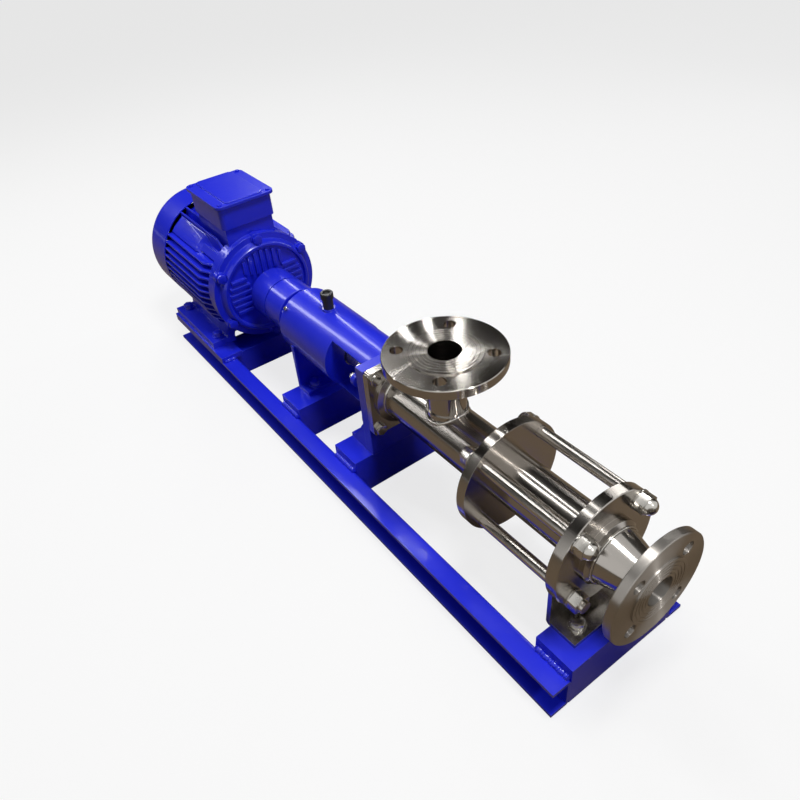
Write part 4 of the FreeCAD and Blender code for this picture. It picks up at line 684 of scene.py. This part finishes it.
def bead_run(name, start, end, thickness, drops):
    """A straight, painted hand weld from one point to another, tapered at its ends."""
    run = (end - start).normalized()
    length = (end - start).length
    rings = drops * RINGS_PER_DROP
    bpy.ops.object.select_all(action="DESELECT")
    bpy.ops.mesh.primitive_cylinder_add(
        vertices=BEAD_SIDES, radius=thickness, depth=length, location=(start + end) / 2,
        rotation=run.to_track_quat("Z", "Y").to_euler(),
    )
    piece = new_piece(name)
    bpy.ops.object.mode_set(mode="EDIT")
    bpy.ops.mesh.select_mode(type="EDGE")
    bpy.ops.mesh.select_all(action="DESELECT")
    bpy.ops.object.mode_set(mode="OBJECT")
    points = piece.data.vertices
    for edge in piece.data.edges:
        first, second = (points[number].co for number in edge.vertices)
        edge.select = abs((second - first).dot(run)) > length / 2
    bpy.ops.object.mode_set(mode="EDIT")
    bpy.ops.mesh.subdivide(number_cuts=rings - 1)
    bpy.ops.object.mode_set(mode="OBJECT")

    def ring_of(vertex):
        return round((vertex.co - start).dot(run) / length * rings)

    ripple(piece, ring_of, RUN_RIPPLE * thickness)
    for tip, ring in ((start, 0), (end, rings)):
        select_vertices(piece, lambda vertex: ring_of(vertex) == ring)
        bpy.ops.transform.resize(value=(RUN_TIP, RUN_TIP, RUN_TIP), center_override=tip)
        bpy.ops.object.mode_set(mode="OBJECT")
    bpy.ops.object.shade_smooth_by_angle(angle=BEAD_SMOOTH_ANGLE)
    seated(piece, "pump_set", FINISHES["weld_paint"].material)


def welds():
    bead_ring(
        "neck_weld_bead", at(0, 0, NECK_BEAD_HEIGHT), UPRIGHT, 28.4 * MM, 2.3 * MM, 30,
        saddle=CASING_RADIUS,
    )
    for name, (out, radius, thickness, drops) in PIPE_BEADS.items():
        bead_ring(name, at(out), ALONG_X, radius * MM, thickness * MM, drops)
    for side, where in ((-1, "near"), (1, "far")):
        y = side * (RAIL_WEB + BEAM_WELD_OUT)
        height = RAIL_TOP + BEAM_WELD_RISE
        for beam, start in BEAM_STARTS.items():
            first = at(start + BEAM_WELD_INSET, y, height)
            last = at(start + BEAM_WIDTH - BEAM_WELD_INSET, y, height)
            bead_run(f"{beam}_beam_weld_{where}", first, last, 3.8 * MM, 9)
        height = RAIL_TOP + PAD_WELD_RISE
        first = at(PAD_EDGE, side * PAD_WELD_START, height)
        last = at(PAD_EDGE, side * PAD_WELD_END, height)
        bead_run(f"motor_pad_weld_{where}", first, last, 3.2 * MM, 5)


def grub_screw():
    """A socket screw that stands out of the housing beside the filler."""
    tilt = math.radians(44.6)
    out = Vector((0, -math.cos(tilt), math.sin(tilt)))
    from_axis = 55.5 * MM
    bpy.ops.object.select_all(action="DESELECT")
    bpy.ops.mesh.primitive_cylinder_add(
        vertices=24, radius=3.6 * MM, depth=7 * MM, location=at(-370) + out * from_axis,
        rotation=out.to_track_quat("Z", "Y").to_euler(),
    )
    piece = new_piece("housing_grub_screw")
    bpy.ops.object.mode_set(mode="EDIT")
    bpy.ops.mesh.select_mode(type="FACE")
    bpy.ops.mesh.select_all(action="DESELECT")
    bpy.ops.object.mode_set(mode="OBJECT")
    for face in piece.data.polygons:
        face.select = face.normal.dot(out) > 0.9
    bpy.ops.object.mode_set(mode="EDIT")
    bpy.ops.mesh.inset(thickness=0.5 * MM, depth=0.5 * MM)
    bpy.ops.mesh.inset(thickness=1.2 * MM, depth=0)
    bpy.ops.mesh.inset(thickness=0.1 * MM, depth=-2.5 * MM)
    bpy.ops.object.mode_set(mode="OBJECT")
    bpy.ops.object.shade_smooth_by_angle(angle=SMOOTH_ANGLE)
    seated(piece, "pump_set", FINISHES["fasteners"].material)


place_camera()
studio()
welds()
grub_screw()
for node, cad_object in nodes.items():
    for material_slot in cad_object.material_slots:
        material_slot.material = finish_for(node)
for node, copy_name in SMOOTHED.items():
    smoothed(node, copy_name, BEVELLED.get(node))

bpy.context.scene.view_settings.view_transform = "Standard"
